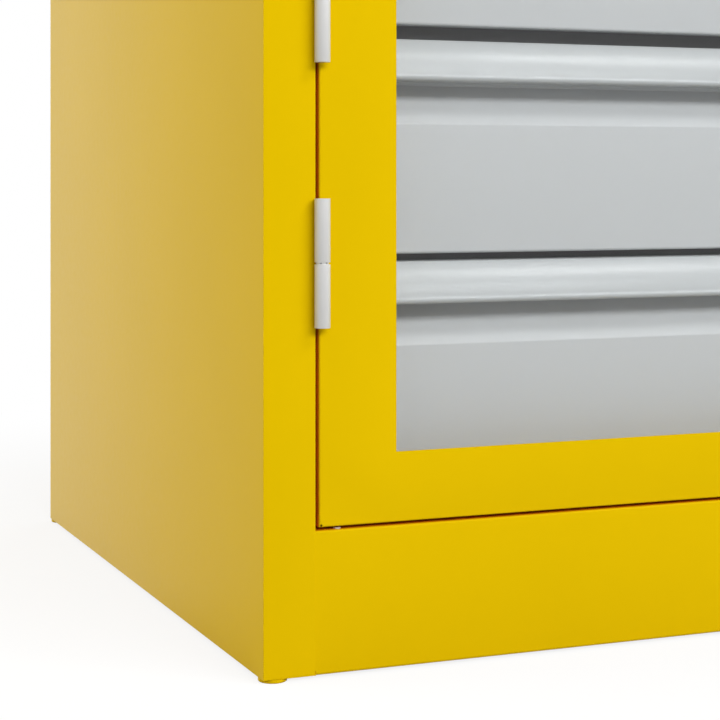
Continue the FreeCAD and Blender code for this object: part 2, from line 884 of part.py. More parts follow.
def cabinet():
    """Every named piece of the cabinet."""
    lower, upper = hinge_heights
    side = side_panel()
    wall = spacer()
    pieces = {
        "left_side_panel": side,
        "right_side_panel": mirrored(side),
        "plinth_panel": plinth_panel(),
        "header_rail": header_rail(),
        "floor_panel": floor_panel(),
        "top_panel": top_panel(),
        "rear_panel": rear_panel(),
        "left_spacer": wall,
        "right_spacer": mirrored(wall),
        "cross_rails": cross_rails(),
        "hinge_frame_leaf_lower": frame_leaf(lower),
        "hinge_frame_leaf_upper": frame_leaf(upper),
        "hinge_door_leaf_lower": door_leaf(lower),
        "hinge_door_leaf_upper": door_leaf(upper),
        "hinge_pins": [hinge_pin(lower), hinge_pin(upper)],
        "hinge_washers": [hinge_washer(lower), hinge_washer(upper)],
        "door_buffers": door_buffers(),
        "door_rest_pads": door_rest_pads(),
        "foot_nuts": foot_nuts(),
        "door_skin": door_skin(),
        "door_stiffeners": door_stiffeners(),
        "window_pane": window_pane(),
        "pane_tape": pane_tape(),
        "glazing_beads": glazing_beads(),
        "bead_screws": bead_screws(),
        "lock_housing": lock_housing(),
        "lock_nut": lock_nut(),
        "lock_spindle": lock_spindle(),
        "lock_knob": lock_knob(),
        "lock_cam": lock_cam(),
        "key_cylinder": key_cylinder(),
    }
    for place, (x, y) in foot_places().items():
        pieces[f"foot_{place}"] = foot(x, y)
    for number, bottom in enumerate(drawer_bottoms(), 1):
        name = f"drawer_{number}"
        pieces[f"{name}_tray"] = drawer_tray(bottom)
        pieces[f"{name}_front"] = drawer_front(bottom)
        pieces[f"{name}_grip"] = drawer_grip(bottom)
        pieces[f"{name}_grip_ends"] = grip_ends(bottom)
        pieces[f"{name}_fixed_runners"] = runner_pair(bottom, 0)
        pieces[f"{name}_middle_runners"] = runner_pair(bottom, 1)
        pieces[f"{name}_inner_runners"] = runner_pair(bottom, 2)
    return pieces


def write(pieces):
    os.makedirs("parts", exist_ok=True)
    for name, piece in pieces.items():
        solids = [s for shape in (piece if isinstance(piece, list) else [piece]) for s in shape.Solids]
        Part.makeCompound(solids).exportStep(f"parts/{name}.step")


write(cabinet())
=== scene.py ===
"""Reagent cabinet: the visible pieces and their finishes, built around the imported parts.

Run as a script in Blender. The scene is in metres. Sizes are written here as millimetres times MM, and the
defaults of the settings' lengths as plain millimetres.
"""

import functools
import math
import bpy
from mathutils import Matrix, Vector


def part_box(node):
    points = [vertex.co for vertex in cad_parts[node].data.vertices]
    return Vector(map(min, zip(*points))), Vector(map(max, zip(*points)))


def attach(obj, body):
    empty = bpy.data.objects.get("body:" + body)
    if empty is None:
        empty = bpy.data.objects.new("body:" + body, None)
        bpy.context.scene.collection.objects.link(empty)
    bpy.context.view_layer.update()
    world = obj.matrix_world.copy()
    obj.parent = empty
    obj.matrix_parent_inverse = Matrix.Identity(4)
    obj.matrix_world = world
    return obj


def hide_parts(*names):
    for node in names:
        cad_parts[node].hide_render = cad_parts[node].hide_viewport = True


bl_info = {
    "name": "Reagent Cabinet",
    "version": (1, 0, 0),
    "blender": (4, 5, 0),
    "location": "View3D > Sidebar > Cabinet",
    "description": "Models a sheet-steel reagent cabinet with a window door and drawers",
    "category": "Object",
}

import bmesh
import bpy
from mathutils import Matrix, Vector

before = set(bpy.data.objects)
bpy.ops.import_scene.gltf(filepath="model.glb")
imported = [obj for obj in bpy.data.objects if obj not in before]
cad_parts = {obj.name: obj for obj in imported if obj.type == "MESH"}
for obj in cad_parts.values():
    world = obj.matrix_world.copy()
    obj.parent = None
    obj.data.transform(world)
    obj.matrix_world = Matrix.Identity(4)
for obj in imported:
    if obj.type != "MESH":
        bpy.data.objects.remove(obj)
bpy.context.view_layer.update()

MM = 0.001
X, Y, Z = range(3)
UP, BACK, FRONT = (0, 0, 1), (0, 1, 0), (0, -1, 0)
DRAWERS = (1, 2, 3)
FLAT = math.radians(35)  # faces that meet at less than this are shaded as one curve
CREASE = math.radians(25)  # the same for the grips, where it keeps the line over the bead crisp
TOUCH = 1e-6  # points closer than this are taken to meet
UPRIGHT = (math.pi / 2, 0, 0)  # turns a flat plane to stand across the front
FOLD_STEPS = 5  # faces round a fold
SCREWS_PER_SIDE = 4
COAT_EDGE = 0.2 * MM  # radius of a cut edge under its coat
STRIP_EDGE = 0.15 * MM  # the same on the folded sheet of drawer fronts and runners
WHITE = (1.0, 1.0, 1.0, 1.0)
WARM = (1.0, 0.94, 0.86)  # colour of the lamp at the left
LAMP_AIM = Vector((0, -0.2, 0.3))
CAMERA_PLACE = (-0.380, -1.096, 0.3144)  # from the low front corner of the left side panel
CAMERA_TURN = math.radians(22.09)

# ---------------------------------------------------------------- settings


def length(name, text, size_mm):
    """A size, whose default is given in millimetres. The scene holds it in metres."""
    return bpy.props.FloatProperty(
        name=name, description=text, default=size_mm * MM, min=0.0, precision=5, subtype="DISTANCE"
    )


def colour(name, text, default):
    """A colour written as six hex digits."""
    return bpy.props.StringProperty(name=name, description=text, default=default)


def power(name, text, default):
    """A lamp's power in watts."""
    return bpy.props.FloatProperty(name=name, description=text, default=default, min=0.0, unit="POWER")


def amount(name, text, default):
    """A plain number."""
    return bpy.props.FloatProperty(name=name, description=text, default=default, precision=4)


class BodySettings(bpy.types.PropertyGroup):
    sheet: length("Sheet", "Thickness of the body's sheet steel", 1.25)
    fold: length("Fold radius", "Outer radius of the folds that frame the door", 1.75)
    rear_fold: length("Rear fold radius", "Outer radius of the two rear corner folds", 4.25)
    post: length("Post width", "Width of the front posts", 35.0)
    rear_flange: length("Rear flange", "Width of the flange round the rear panel", 25.0)
    stop: length("Stop width", "Width of the flange the door shuts against", 12.0)
    post_fold: length("Post fold", "Outer radius of the fold at a post's inner edge", 1.3)
    edge: length("Sheet edge", "Radius of a cut sheet edge and of a post's outer corner", 0.35)
    notch: length("Seam notch", "Height of the relief notch under each post's seam", 1.5)


class DoorSettings(bpy.types.PropertyGroup):
    sheet: length("Skin", "Thickness of the door's skin", 1.25)
    edge: length("Edge radius", "Outer radius round the door's face", 1.2)
    lip: length("Lip", "Width of the lip folded in behind the door", 10.0)
    relief: length("Corner relief", "Radius of the relief hole at each folded corner", 0.8)
    window: length("Pane cover", "How far the skin covers the pane's edge", 12.0)
    tape: length("Tape width", "Width of the tape under the pane", 8.0)
    bead_sheet: length("Bead sheet", "Thickness of the glazing beads", 1.5)
    screw_head: length("Screw head", "Radius of a bead screw's head", 3.0)
    lock_hole: length("Lock hole", "Radius of the lock's hole in the skin", 9.7)


class DrawerSettings(bpy.types.PropertyGroup):
    sheet: length("Front sheet", "Thickness of a drawer front", 1.25)
    fold: length("Fold radius", "Outer radius of a drawer front's folds", 2.05)
    web: length("Web setback", "Depth of the finger recess behind the flat", 16.0)
    ramp_top: length("Recess top", "From a front's top down to the recess's ramp", 30.0)
    crease: length("Crease", "From a front's top down to the fold under the ramp", 56.0)
    bead: length("Bead radius", "Radius of the bead under the grip's nose", 2.3)
    bead_start: bpy.props.FloatProperty(
        name="Bead start",
        description="Slope at which the nose meets the bead",
        default=math.radians(38),
        subtype="ANGLE",
    )
    lip: length("Lip", "How far the grip's lip hangs under its bead", 2.0)
    lip_setback: length("Lip setback", "From the flat of the front back to the lip", 12.0)
    crown: length("Crown", "Radius of the fold along a grip's top", 1.2)
    overhang: length("Overhang", "How far the grip's top reaches out over the flat of the front", 3.0)
    bow: length("Bow", "How far the grip's nose bows out of its chord", 1.65)
    flange: length("Flange", "Width of the flange folded back under a front", 12.0)
    tray_sheet: length("Tray sheet", "Thickness of a tray's sheet", 1.0)
    tray_drop: length("Tray drop", "From the top of the front wall down to the tray's rim", 18.3)
    hem: length("Hem", "Width of the rim folded in round a tray", 5.0)
    runner_sheet: length("Runner sheet", "Thickness of the runners' strip", 1.2)
    runner_fold: length("Runner fold", "Outer radius of the runners' folds", 2.2)


class HardwareSettings(bpy.types.PropertyGroup):
    knuckle: length("Knuckle", "Radius of a hinge's knuckles", 5.0)
    leaf: length("Leaf", "Thickness of a hinge leaf", 0.9)
    pin: length("Pin", "Radius of a hinge pin", 3.0)
    play: length("Pin play", "Play between a hinge pin and its bore", 0.1)
    groove: length("Washer groove", "Width of the grooves in a hinge's washer", 1.3)
    knob: length("Knob", "Radius of the lock's knob", 15.0)
    knob_base: length("Knob base", "Height of the knob's round base", 6.0)
    grip: length("Knob grip", "Width of the grip across the knob", 9.0)
    seat: length("Key seat", "Radius of the key cylinder's seat in the grip", 3.65)
    seat_depth: length("Key seat depth", "Depth of the key cylinder's seat", 5.0)
    key_slot: length("Key slot", "Length of the key slot", 4.4)
    foot_rise: length("Foot rise", "How far the glide feet lift the body", 2.5)
    stud: length("Stud", "Radius of a foot's stud", 3.92)
    nut: length("Foot nut", "Width across the flats of a foot's nut", 13.0)


class FinishSettings(bpy.types.PropertyGroup):
    yellow: colour("Yellow coat", "Powder coat of the body and door", "E4BE03")
    # The deeper orange for the gap round the door is painted shade, not a thinner coat.
    fold: colour("Thin yellow coat", "Powder coat in the gap round the door", "E49003")
    grey: colour("Grey coat", "Powder coat of the drawers", "C4C6C8")
    # The grips' darker grey is painted shade for their brighter-lit nose, not a different coat.
    grip: colour("Grip coat", "Powder coat of the grips", "B9BCBE")
    anthracite: colour("Anthracite coat", "Powder coat of the inner walls", "5A5A5B")
    zinc: colour("Zinc", "Zinc-plated steel of hinges and runners", "E0E0DF")
    nickel: colour("Nickel", "Satin nickel of the lock", "BDB9B1")


class StageSettings(bpy.types.PropertyGroup):
    lens: bpy.props.FloatProperty(
        name="Lens", description="Focal length in mm", default=93.15, subtype="DISTANCE_CAMERA"
    )
    rise: amount("Shift", "Vertical shift of the camera", -0.2558)
    key: power("Key", "Power of the wide soft box in front", 168.0)
    top: power("Top", "Power of the small high box", 38.0)
    side: power("Side", "Power of the box at the left", 90.0)
    rear: power("Rear", "Power of the box behind at the right", 80.0)
    fill: amount("Fill", "Strength of the even light all round", 0.5)
    behind: amount("Behind", "Share of the light that comes from behind the camera", 0.48)


def settings(name):
    return getattr(bpy.context.scene, f"cabinet_{name}")


# ---------------------------------------------------------------- modelling by hand


def alone():
    """Leaves nothing selected."""
    bpy.ops.object.select_all(action="DESELECT")


def only(obj):
    """Leaves one object selected and active."""
    alone()
    obj.select_set(True)
    bpy.context.view_layer.objects.active = obj


def edit(obj):
    only(obj)
    bpy.ops.object.mode_set(mode="EDIT")


def leave():
    bpy.ops.object.mode_set(mode="OBJECT")


def place(obj, name):
    """Names the object and puts its place, turn and size into its mesh."""
    only(obj)
    obj.name = name
    obj.data.name = name
    bpy.ops.object.transform_apply(location=True, rotation=True, scale=True)
    return obj


def block(name, low, high):
    """A cube primitive stretched between two corners."""
    alone()
    low, high = Vector(low), Vector(high)
    bpy.ops.mesh.primitive_cube_add(size=1, location=(low + high) / 2, scale=high - low)
    return place(bpy.context.object, name)


def plane(name, middle, turn, width, depth):
    """A plane primitive of a size, placed and turned."""
    alone()
    bpy.ops.mesh.primitive_plane_add(size=1, location=middle, rotation=turn)
    obj = bpy.context.object
    obj.scale = (width, depth, 1)
    return place(obj, name)


def turned(axis):
    """The rotation that points a cylinder's length along an axis."""
    return Vector(UP).rotation_difference(Vector(axis)).to_euler()


def disc(name, foot, axis, radius, height, sides=48):
    """A cylinder primitive that stands on a point and points along an axis."""
    alone()
    middle = Vector(foot) + Vector(axis) * height / 2
    bpy.ops.mesh.primitive_cylinder_add(
        vertices=sides, radius=radius, depth=height, location=middle, rotation=turned(axis)
    )
    return place(bpy.context.object, name)


def pick(obj, kind, wanted):
    """In edit mode, selects the verts, edges or faces that wanted accepts, and says how many."""
    bpy.ops.mesh.select_mode(type={"verts": "VERT", "edges": "EDGE", "faces": "FACE"}[kind])
    bpy.ops.mesh.select_all(action="DESELECT")
    mesh = bmesh.from_edit_mesh(obj.data)
    found = [item for item in getattr(mesh, kind) if wanted(item)]
    for item in found:
        item.select_set(True)
    mesh.select_flush_mode()
    bmesh.update_edit_mesh(obj.data)
    if not found:
        raise RuntimeError(f"{obj.name}: no {kind} to select")
    return len(found)


def at(item, axis, value, tolerance=TOUCH):
    """True if all of an edge's or a face's corners lie at one value on an axis."""
    return all(abs(vert.co[axis] - value) < tolerance for vert in item.verts)


def along(edge, axis):
    """True if an edge runs along an axis."""
    run = (edge.verts[1].co - edge.verts[0].co).normalized()
    return abs(abs(run[axis]) - 1) < 1e-4


def bevel(obj, wanted, radius, segments=3):
    """Rounds the edges that wanted accepts."""
    edit(obj)
    pick(obj, "edges", wanted)
    bpy.ops.mesh.bevel(offset=radius, segments=segments, affect="EDGES", clamp_overlap=True)
    leave()


def bisect(obj, point, normal, wanted=None):
    """Cuts the faces that wanted accepts along a plane."""
    edit(obj)
    pick(obj, "faces", wanted or (lambda face: True))
    bpy.ops.mesh.bisect(plane_co=point, plane_no=normal)
    leave()


def delete_faces(obj, wanted):
    edit(obj)
    pick(obj, "faces", wanted)
    bpy.ops.mesh.delete(type="FACE")
    leave()


def modifier(obj, kind, **values):
    """Adds a modifier and applies it."""
    only(obj)
    made = obj.modifiers.new(kind.title(), kind)
    for name, value in values.items():
        setattr(made, name, value)
    bpy.ops.object.modifier_apply(modifier=made.name)


def face_out(obj):
    """Merges doubles and turns every face of a closed shell outwards."""
    edit(obj)
    bpy.ops.mesh.select_all(action="SELECT")
    bpy.ops.mesh.remove_doubles(threshold=TOUCH)
    bpy.ops.mesh.normals_make_consistent(inside=False)
    leave()


def soften(obj, radius, segments=2, angle=55):
    """Rounds every sharp edge a little, as a coat or a tumbled edge does."""
    modifier(
        obj,
        "BEVEL",
        width=radius,
        segments=segments,
        limit_method="ANGLE",
        angle_limit=math.radians(angle),
        use_clamp_overlap=True,
    )


def smooth(obj, angle=FLAT):
    """Shades faces that meet at less than an angle as one curve."""
    only(obj)
    bpy.ops.object.shade_smooth_by_angle(angle=angle)
    return obj


def join(name, pieces):
    """One object out of several."""
    alone()
    for piece in pieces:
        piece.select_set(True)
    bpy.context.view_layer.objects.active = pieces[0]
    bpy.ops.object.join()
    pieces[0].name = name
    pieces[0].data.name = name
    return pieces[0]


def copied(obj, name, shift=(0, 0, 0), turn=(0, 0, 0), scale=(1, 1, 1)):
    """A copy with its own mesh, turned about the origin and moved."""
    only(obj)
    bpy.ops.object.duplicate(linked=False)
    twin = bpy.context.object
    twin.location = shift
    twin.rotation_euler = turn
    twin.scale = scale
    return place(twin, name)


def mirrored(obj, name):
    """A copy with its own mesh on the other side of the cabinet's middle."""
    twin = copied(obj, name, scale=(-1, 1, 1))
    face_out(twin)
    return smooth(twin)


def repeated(model, nodes, names):
    """The model and its copies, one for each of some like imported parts. The model is the first part's."""
    home = corners(nodes[0])[0]
    others = zip(nodes[1:], names[1:])
    return [model] + [copied(model, name, corners(node)[0] - home) for node, name in others]


def cut(obj, tools):
    """Takes the tools' shapes out of an object and removes the tools."""
    for tool in tools:
        modifier(obj, "BOOLEAN", object=tool, operation="DIFFERENCE", solver="EXACT")
        bpy.data.objects.remove(tool)


def thicken(obj, thickness, first_face, inward):
    """Gives a sheet its thickness on the inward side, as told by the way that one of its faces points."""
    edit(obj)
    bpy.ops.mesh.select_all(action="SELECT")
    bpy.ops.mesh.normals_make_consistent(inside=False)
    mesh = bmesh.from_edit_mesh(obj.data)
    if first_face(mesh).normal.dot(Vector(inward)) > 0:
        bpy.ops.mesh.flip_normals()
    leave()
    modifier(obj, "SOLIDIFY", thickness=thickness, offset=-1, use_even_offset=True)


def folded(name, path, reach, inward, thickness, radii, edge, edge_steps=2, trim=None):
    """A folded sheet. The path is its outer face, and the sheet spans the reach.

    A plane is added on the path's first run, its edge is pulled out along each further run, the folds are
    rounded with the radii, and the sheet is then thickened inwards. Its cut edges are rounded last.
    """
    path = [Vector(p) for p in path]
    reach = Vector(reach)
    run = path[1] - path[0]
    normal = run.cross(reach).normalized()
    turn = Matrix((run.normalized(), reach.normalized(), normal)).transposed().to_euler()
    middle = (path[0] + path[1] + reach) / 2
    obj = plane(name, middle, turn, run.length, reach.length)

    def on_line(point):
        return lambda e: all((v.co - point).cross(reach.normalized()).length < TOUCH for v in e.verts)

    def near_start(face):
        return (face.calc_center_median() - middle).length

    edit(obj)
    pick(obj, "edges", on_line(path[1]))
    for start, stop in zip(path[1:], path[2:]):
        bpy.ops.mesh.extrude_region_move(TRANSFORM_OT_translate={"value": stop - start})
    leave()
    if trim:
        trim(obj)
    for i, radius in enumerate(radii, 1):
        if radius:
            angle = (path[i] - path[i - 1]).angle(path[i + 1] - path[i])
            bevel(obj, on_line(path[i]), radius * math.tan(angle / 2), FOLD_STEPS)
    thicken(obj, thickness, lambda mesh: min(mesh.faces, key=near_start), inward)
    way = max((X, Y, Z), key=lambda axis: abs(reach[axis]))
    square = math.radians(69)
    bevel(obj, lambda e: along(e, way) and e.calc_face_angle(0) > square, edge, edge_steps)
    return smooth(obj)


def dressed(name, node, radius):
    """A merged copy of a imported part, with flat faces made whole, edges softened and curves smooth."""
    joined, level, sharp = 0.002 * MM, math.radians(0.3), 50
    only(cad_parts[node])
    bpy.ops.object.duplicate(linked=False)
    twin = bpy.context.object
    twin.parent = None
    for key in list(twin.keys()):
        del twin[key]
    place(twin, name)
    edit(twin)
    bpy.ops.mesh.select_all(action="SELECT")
    bpy.ops.mesh.remove_doubles(threshold=joined)
    bpy.ops.mesh.dissolve_limited(angle_limit=level)
    leave()
    soften(twin, radius, angle=sharp)
    return smooth(twin)


def show(obj, coat, body, node):
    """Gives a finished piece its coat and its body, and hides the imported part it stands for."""
    obj.data.materials.clear()
    obj.data.materials.append(COATS[coat])
    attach(obj, body)
    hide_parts(node)


def repaint(obj, coat, wanted):
    """Gives the faces that wanted accepts a second material, here the orange that paints the shade in the
    gap round the door.
    """
    obj.data.materials.append(COATS[coat])
    edit(obj)
    pick(obj, "faces", wanted)
    obj.active_material_index = len(obj.data.materials) - 1
    bpy.ops.object.material_slot_assign()
    leave()


def corners(node):
    """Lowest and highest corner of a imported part."""
    low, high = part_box(node)
    return low.copy(), high.copy()


# ---------------------------------------------------------------- materials


def linear(hexed):
    """Linear colour from six sRGB hex digits."""
    values = []
    for i in (0, 2, 4):
        c = int(hexed[i : i + 2], 16) / 255
        values.append(c / 12.92 if c <= 0.04045 else ((c + 0.055) / 1.055) ** 2.4)
    return (*values, 1.0)


def add(tree, kind, inputs=None, **values):
    """Adds a node with its settings, its plain inputs and its links."""
    made = tree.nodes.new(kind)
    for name, value in values.items():
        setattr(made, name, value)
    for name, value in (inputs or {}).items():
        if isinstance(value, bpy.types.NodeSocket):
            tree.links.new(value, made.inputs[name])
        else:
            made.inputs[name].default_value = value
    return made


def material(name):
    """An empty material with its output, and its object coordinates."""
    made = bpy.data.materials.new(name)
    made.use_nodes = True
    made.node_tree.nodes.clear()
    tree = made.node_tree
    return made, tree, add(tree, "ShaderNodeTexCoord").outputs["Object"]


def output(tree, shader):
    add(tree, "ShaderNodeOutputMaterial", {"Surface": shader})


def per_metre(size_mm):
    """Scale of a noise whose marks are about this many millimetres wide."""
    return 1 / (size_mm * MM)


def finished(name, hexed, grain, tone, gloss, relief, **plain):
    """A coat from its patterns. Returns the material.

    Grain holds each pattern: the width of its marks in mm, its detail, and the scale it is given along x,
    y and z, if any. Tone and gloss name a pattern with its lowest and highest value. Relief names a
    pattern with its strength and its height in mm. Plain holds what is the same all over.
    """
    made, tree, place_on = material(name)
    patterns = {}
    for key, (size_mm, detail, stretch) in grain.items():
        spot = place_on
        if stretch:
            spot = add(tree, "ShaderNodeMapping", {"Vector": spot, "Scale": stretch}).outputs["Vector"]
        marks = {"Vector": spot, "Scale": per_metre(size_mm), "Detail": detail}
        patterns[key] = add(tree, "ShaderNodeTexNoise", marks).outputs["Fac"]
    shade, roughness = [
        add(tree, "ShaderNodeMapRange", {"Value": patterns[key], "To Min": low, "To Max": high})
        for key, low, high in (tone, gloss)
    ]
    tint = add(
        tree,
        "ShaderNodeVectorMath",
        {0: linear(hexed)[:3], "Scale": shade.outputs["Result"]},
        operation="SCALE",
    )
    key, strength, height_mm = relief
    bump = add(
        tree,
        "ShaderNodeBump",
        {"Height": patterns[key], "Strength": strength, "Distance": height_mm * MM},
    )
    linked = {
        "Base Color": tint.outputs["Vector"],
        "Roughness": roughness.outputs["Result"],
        "Normal": bump.outputs["Normal"],
    }
    shader = add(tree, "ShaderNodeBsdfPrincipled", linked | plain)
    output(tree, shader.outputs["BSDF"])
    return made


def powder_coat(name, hexed, rough, peel, ior, mottle=0.03, sheen="FFFFFF", drift=0.05):
    """Cured polyester powder on steel: even colour, soft gloss and the low waves of orange peel.

    The waves are about 2 mm wide, as cured powder's are, and the clouds are the slow drift of its thickness.
    The specks of uneven gloss are finer on a real coat, and are drawn at 6 mm so that they show.
    """
    return finished(
        name,
        hexed,
        {"cloud": (140, 2.0, None), "speck": (6, 3.0, None), "waves": (2.2, 2.0, None)},
        ("cloud", 1 - mottle, 1 + mottle),
        ("speck", rough - drift, rough + drift),
        ("waves", peel, 0.05),
        **{"IOR": ior, "Specular Tint": linear(sheen)},
    )


def drawn_metal(name, hexed, rough, run, ease, line_mm, depth, metal=1.0):
    """Drawn, turned or rolled metal: fine lines that run along one axis, uneven in gloss and tone.

    Ease is the scale of the lines along their run, so that a small one draws them out far. Real lines are
    about a tenth of a millimetre wide, too fine to show, so all of these are drawn coarser.
    """
    stretch = [ease if axis == run else 1 for axis in (X, Y, Z)]
    return finished(
        name,
        hexed,
        {"lines": (line_mm, 4.0, stretch), "cloud": (9, 3.0, None)},
        ("lines", 0.93, 1.04),
        ("cloud", rough - 0.06, rough + 0.06),
        ("lines", depth, 0.02),
        Metallic=metal,
    )


def moulded(name, hexed, rough, grain_mm, depth, ior=1.5):
    """Moulded plastic or rubber: a fine even grain and a soft sheen.

    The real grain is a few tenths of a millimetre, too fine to show, so it is drawn coarser.
    """
    return finished(
        name,
        hexed,
        {"grain": (grain_mm, 3.0, None)},
        ("grain", 0.94, 1.05),
        ("grain", rough - 0.05, rough + 0.08),
        ("grain", depth, 0.03),
        IOR=ior,
    )


def clear_glass():
    """Float glass with the polish of its making. Soft light and shadow rays pass straight through."""
    made, tree, place_on = material("float_glass")
    haze = add(tree, "ShaderNodeTexNoise", {"Vector": place_on, "Scale": per_metre(60), "Detail": 1.0})
    tint = add(
        tree,
        "ShaderNodeMix",
        {"Factor": haze.outputs["Fac"], "A": linear("FDFEFE"), "B": linear("FEFFFF")},
        data_type="RGBA",
    )
    shader = add(
        tree,
        "ShaderNodeBsdfPrincipled",
        {"Base Color": tint.outputs[2], "Roughness": 0.0, "IOR": 1.5, "Transmission Weight": 1.0},
    )
    clear = add(tree, "ShaderNodeBsdfTransparent", {"Color": linear("FCFDFD")})
    ray = add(tree, "ShaderNodeLightPath")
    lit = add(
        tree,
        "ShaderNodeMath",
        {0: ray.outputs["Is Shadow Ray"], 1: ray.outputs["Is Diffuse Ray"]},
        operation="MAXIMUM",
    )
    mix = add(
        tree,
        "ShaderNodeMixShader",
        {"Fac": lit.outputs[0], 1: shader.outputs["BSDF"], 2: clear.outputs["BSDF"]},
    )
    output(tree, mix.outputs["Shader"])
    return made


COATS = {}


def make_coats():
    """Every finish on the cabinet, by name."""
    tints = settings("finish")
    COATS.update(
        # Yellow polyester powder, semi-gloss: deep colour head on, paler where it is seen at a glance.
        yellow=powder_coat(
            "yellow_powder_coat", tints.yellow, rough=0.32, peel=0.22, ior=1.2, sheen=tints.yellow
        ),
        # The same yellow powder, painted a deeper orange for the faces in the narrow gap round the door:
        # painted shade for the dim, yellow-bounced light there.
        fold=powder_coat("thin_yellow_powder_coat", tints.fold, rough=0.4, peel=0.22, ior=1.2),
        # Light grey polyester powder, silk gloss: an even grey with a broad, soft sheen.
        grey=powder_coat(
            "light_grey_powder_coat", tints.grey, rough=0.42, peel=0.15, ior=1.45, mottle=0.008, drift=0.01
        ),
        # The same coat on the extruded grips, glossier, and painted a shade deeper as painted shade, because
        # the grips' nose catches more light than the flat of the front.
        grip=powder_coat(
            "light_grey_coat_on_grip", tints.grip, rough=0.29, peel=0.1, ior=1.45, mottle=0.006, drift=0.01
        ),
        # Anthracite powder, matt and finely textured, which hides marks inside the housing.
        anthracite=powder_coat("anthracite_powder_coat", tints.anthracite, rough=0.62, peel=0.45, ior=1.4),
        # Blue zinc plate, dulled by its passivation, on the drawn steel of the hinges: pale, with faint
        # lines along the barrel.
        zinc=drawn_metal(
            "passivated_zinc_plate",
            tints.zinc,
            rough=0.46,
            run=Z,
            ease=0.03,
            line_mm=1.8,
            depth=0.5,
            metal=0.25,
        ),
        # Zinc plate of the washers, painted lighter than the knuckles as painted light, to lift them out of
        # the shade of the narrow gap between the knuckles.
        washer=drawn_metal(
            "bright_zinc_plate", "F4F4F3", rough=0.4, run=Z, ease=0.2, line_mm=0.6, depth=0.1, metal=0.1
        ),
        # Cold-rolled zinc-plated strip of the runners: rolling lines run along the depth.
        rolled=drawn_metal(
            "zinc_plated_strip", tints.zinc, rough=0.44, run=Y, ease=0.02, line_mm=1.1, depth=0.2, metal=0.6
        ),
        # Ground and polished steel of the pins: nearly a mirror.
        polished=drawn_metal(
            "polished_pin_steel", "E3E3E4", rough=0.12, run=Z, ease=0.2, line_mm=0.6, depth=0.05
        ),
        # Satin nickel plate on a die-cast lock: soft reflections, slightly warm.
        nickel=drawn_metal(
            "satin_nickel", tints.nickel, rough=0.3, run=Z, ease=0.05, line_mm=0.7, depth=0.1
        ),
        # Machined brass of the key cylinder: warm yellow, with fine lines along its length.
        brass=drawn_metal("machined_brass", "D9BF77", rough=0.22, run=Y, ease=0.2, line_mm=0.5, depth=0.1),
        # Float glass of the window: clear and colourless, with sharp faint reflections.
        glass=clear_glass(),
        # Closed-cell foam tape under the pane: black, matt and a little rough.
        foam=moulded("black_foam_tape", "151515", rough=0.85, grain_mm=1.5, depth=0.6),
        # Moulded rubber of the buffers: dark grey with a dull sheen.
        rubber=moulded("grey_rubber", "4A4A49", rough=0.7, grain_mm=0.9, depth=0.4),
        # Turned nylon of the rest pads: off-white with a soft sheen, painted darker as painted shade for the
        # dim gap under the door where the pads sit.
        nylon=moulded("white_nylon", "C9C4BB", rough=0.4, grain_mm=1.2, depth=0.1),
        # Injection-moulded ABS of the grips' end caps: matched to the grey coat, with a fine grain.
        cap=moulded("grey_abs", tints.grey, rough=0.45, grain_mm=0.8, depth=0.15, ior=1.45),
    )


# ---------------------------------------------------------------- body


def seam_block(x, low, high, front, rounded):
    """Welded and ground corner that fills a post's fold, flush with the next sheet and rounded with it."""
    body = settings("body")
    quarter_round = 0.98 * body.fold
    seam = block("seam", (x - body.post_fold, front, low), (x, front + body.fold, high))

    def shared(edge):
        return along(edge, X) and at(edge, Y, front) and at(edge, Z, rounded)

    bevel(seam, shared, quarter_round, FOLD_STEPS)
    return smooth(seam)


def side_panel():
    """Left side panel: one sheet folded from rear flange to door stop, with a cap at each end."""
    body = settings("body")
    sheet = body.sheet
    low, high = corners("left_side_panel")
    plinth_top = corners("plinth_panel")[1].z
    header_foot = corners("header_rail")[0].z
    ledge, lintel = plinth_top - body.stop, header_foot + body.stop
    post = low.x + body.post
    stop_front = corners("door_buffers")[1].y
    foot = low.z + sheet
    path = [
        (low.x + body.rear_flange, high.y, foot),
        (low.x, high.y, foot),
        (low.x, low.y, foot),
        (post, low.y, foot),
        (post, stop_front, foot),
        (high.x, stop_front, foot),
    ]

    def on_stop(face):
        return at(face, Y, stop_front)

    def beyond(face):
        return not plinth_top < face.calc_center_median().z < header_foot

    def clear_stop(wall):
        """Ends the stop at the plinth's and the header's own stops."""
        for level in (plinth_top, header_foot):
            bisect(wall, (0, 0, level), UP, on_stop)
        delete_faces(wall, lambda f: on_stop(f) and beyond(f))

    def upright(edge):
        return along(edge, Z) and at(edge, X, low.x)

    def free(edge):
        return not (at(edge, X, post) or at(edge, Y, high.y))

    radii = [body.rear_fold, 0, body.post_fold, body.fold - sheet]
    reach = (0, 0, high.z - low.z - 2 * sheet)
    wall = folded("side_wall", path, reach, FRONT, sheet, radii, body.edge, FOLD_STEPS, clear_stop)
    caps = []
    outer_round = 0.9 * sheet
    for bottom, outer in ((low.z, low.z), (high.z - sheet, high.z)):
        cap = block("cap", (low.x, low.y, bottom), (post, high.y, bottom + sheet))
        bevel(cap, lambda e: upright(e) and at(e, Y, high.y), body.rear_fold, segments=6)
        bevel(cap, lambda e: upright(e) and at(e, Y, low.y), body.edge, FOLD_STEPS)
        bevel(cap, lambda e: at(e, Z, outer) and free(e), outer_round)
        face_out(cap)
        caps.append(smooth(cap))
    seams = [
        seam_block(post, foot + body.notch, ledge, low.y, ledge),
        seam_block(post, lintel, high.z - sheet, low.y, lintel),
    ]
    return join("side_panel_left", [wall] + caps + seams)


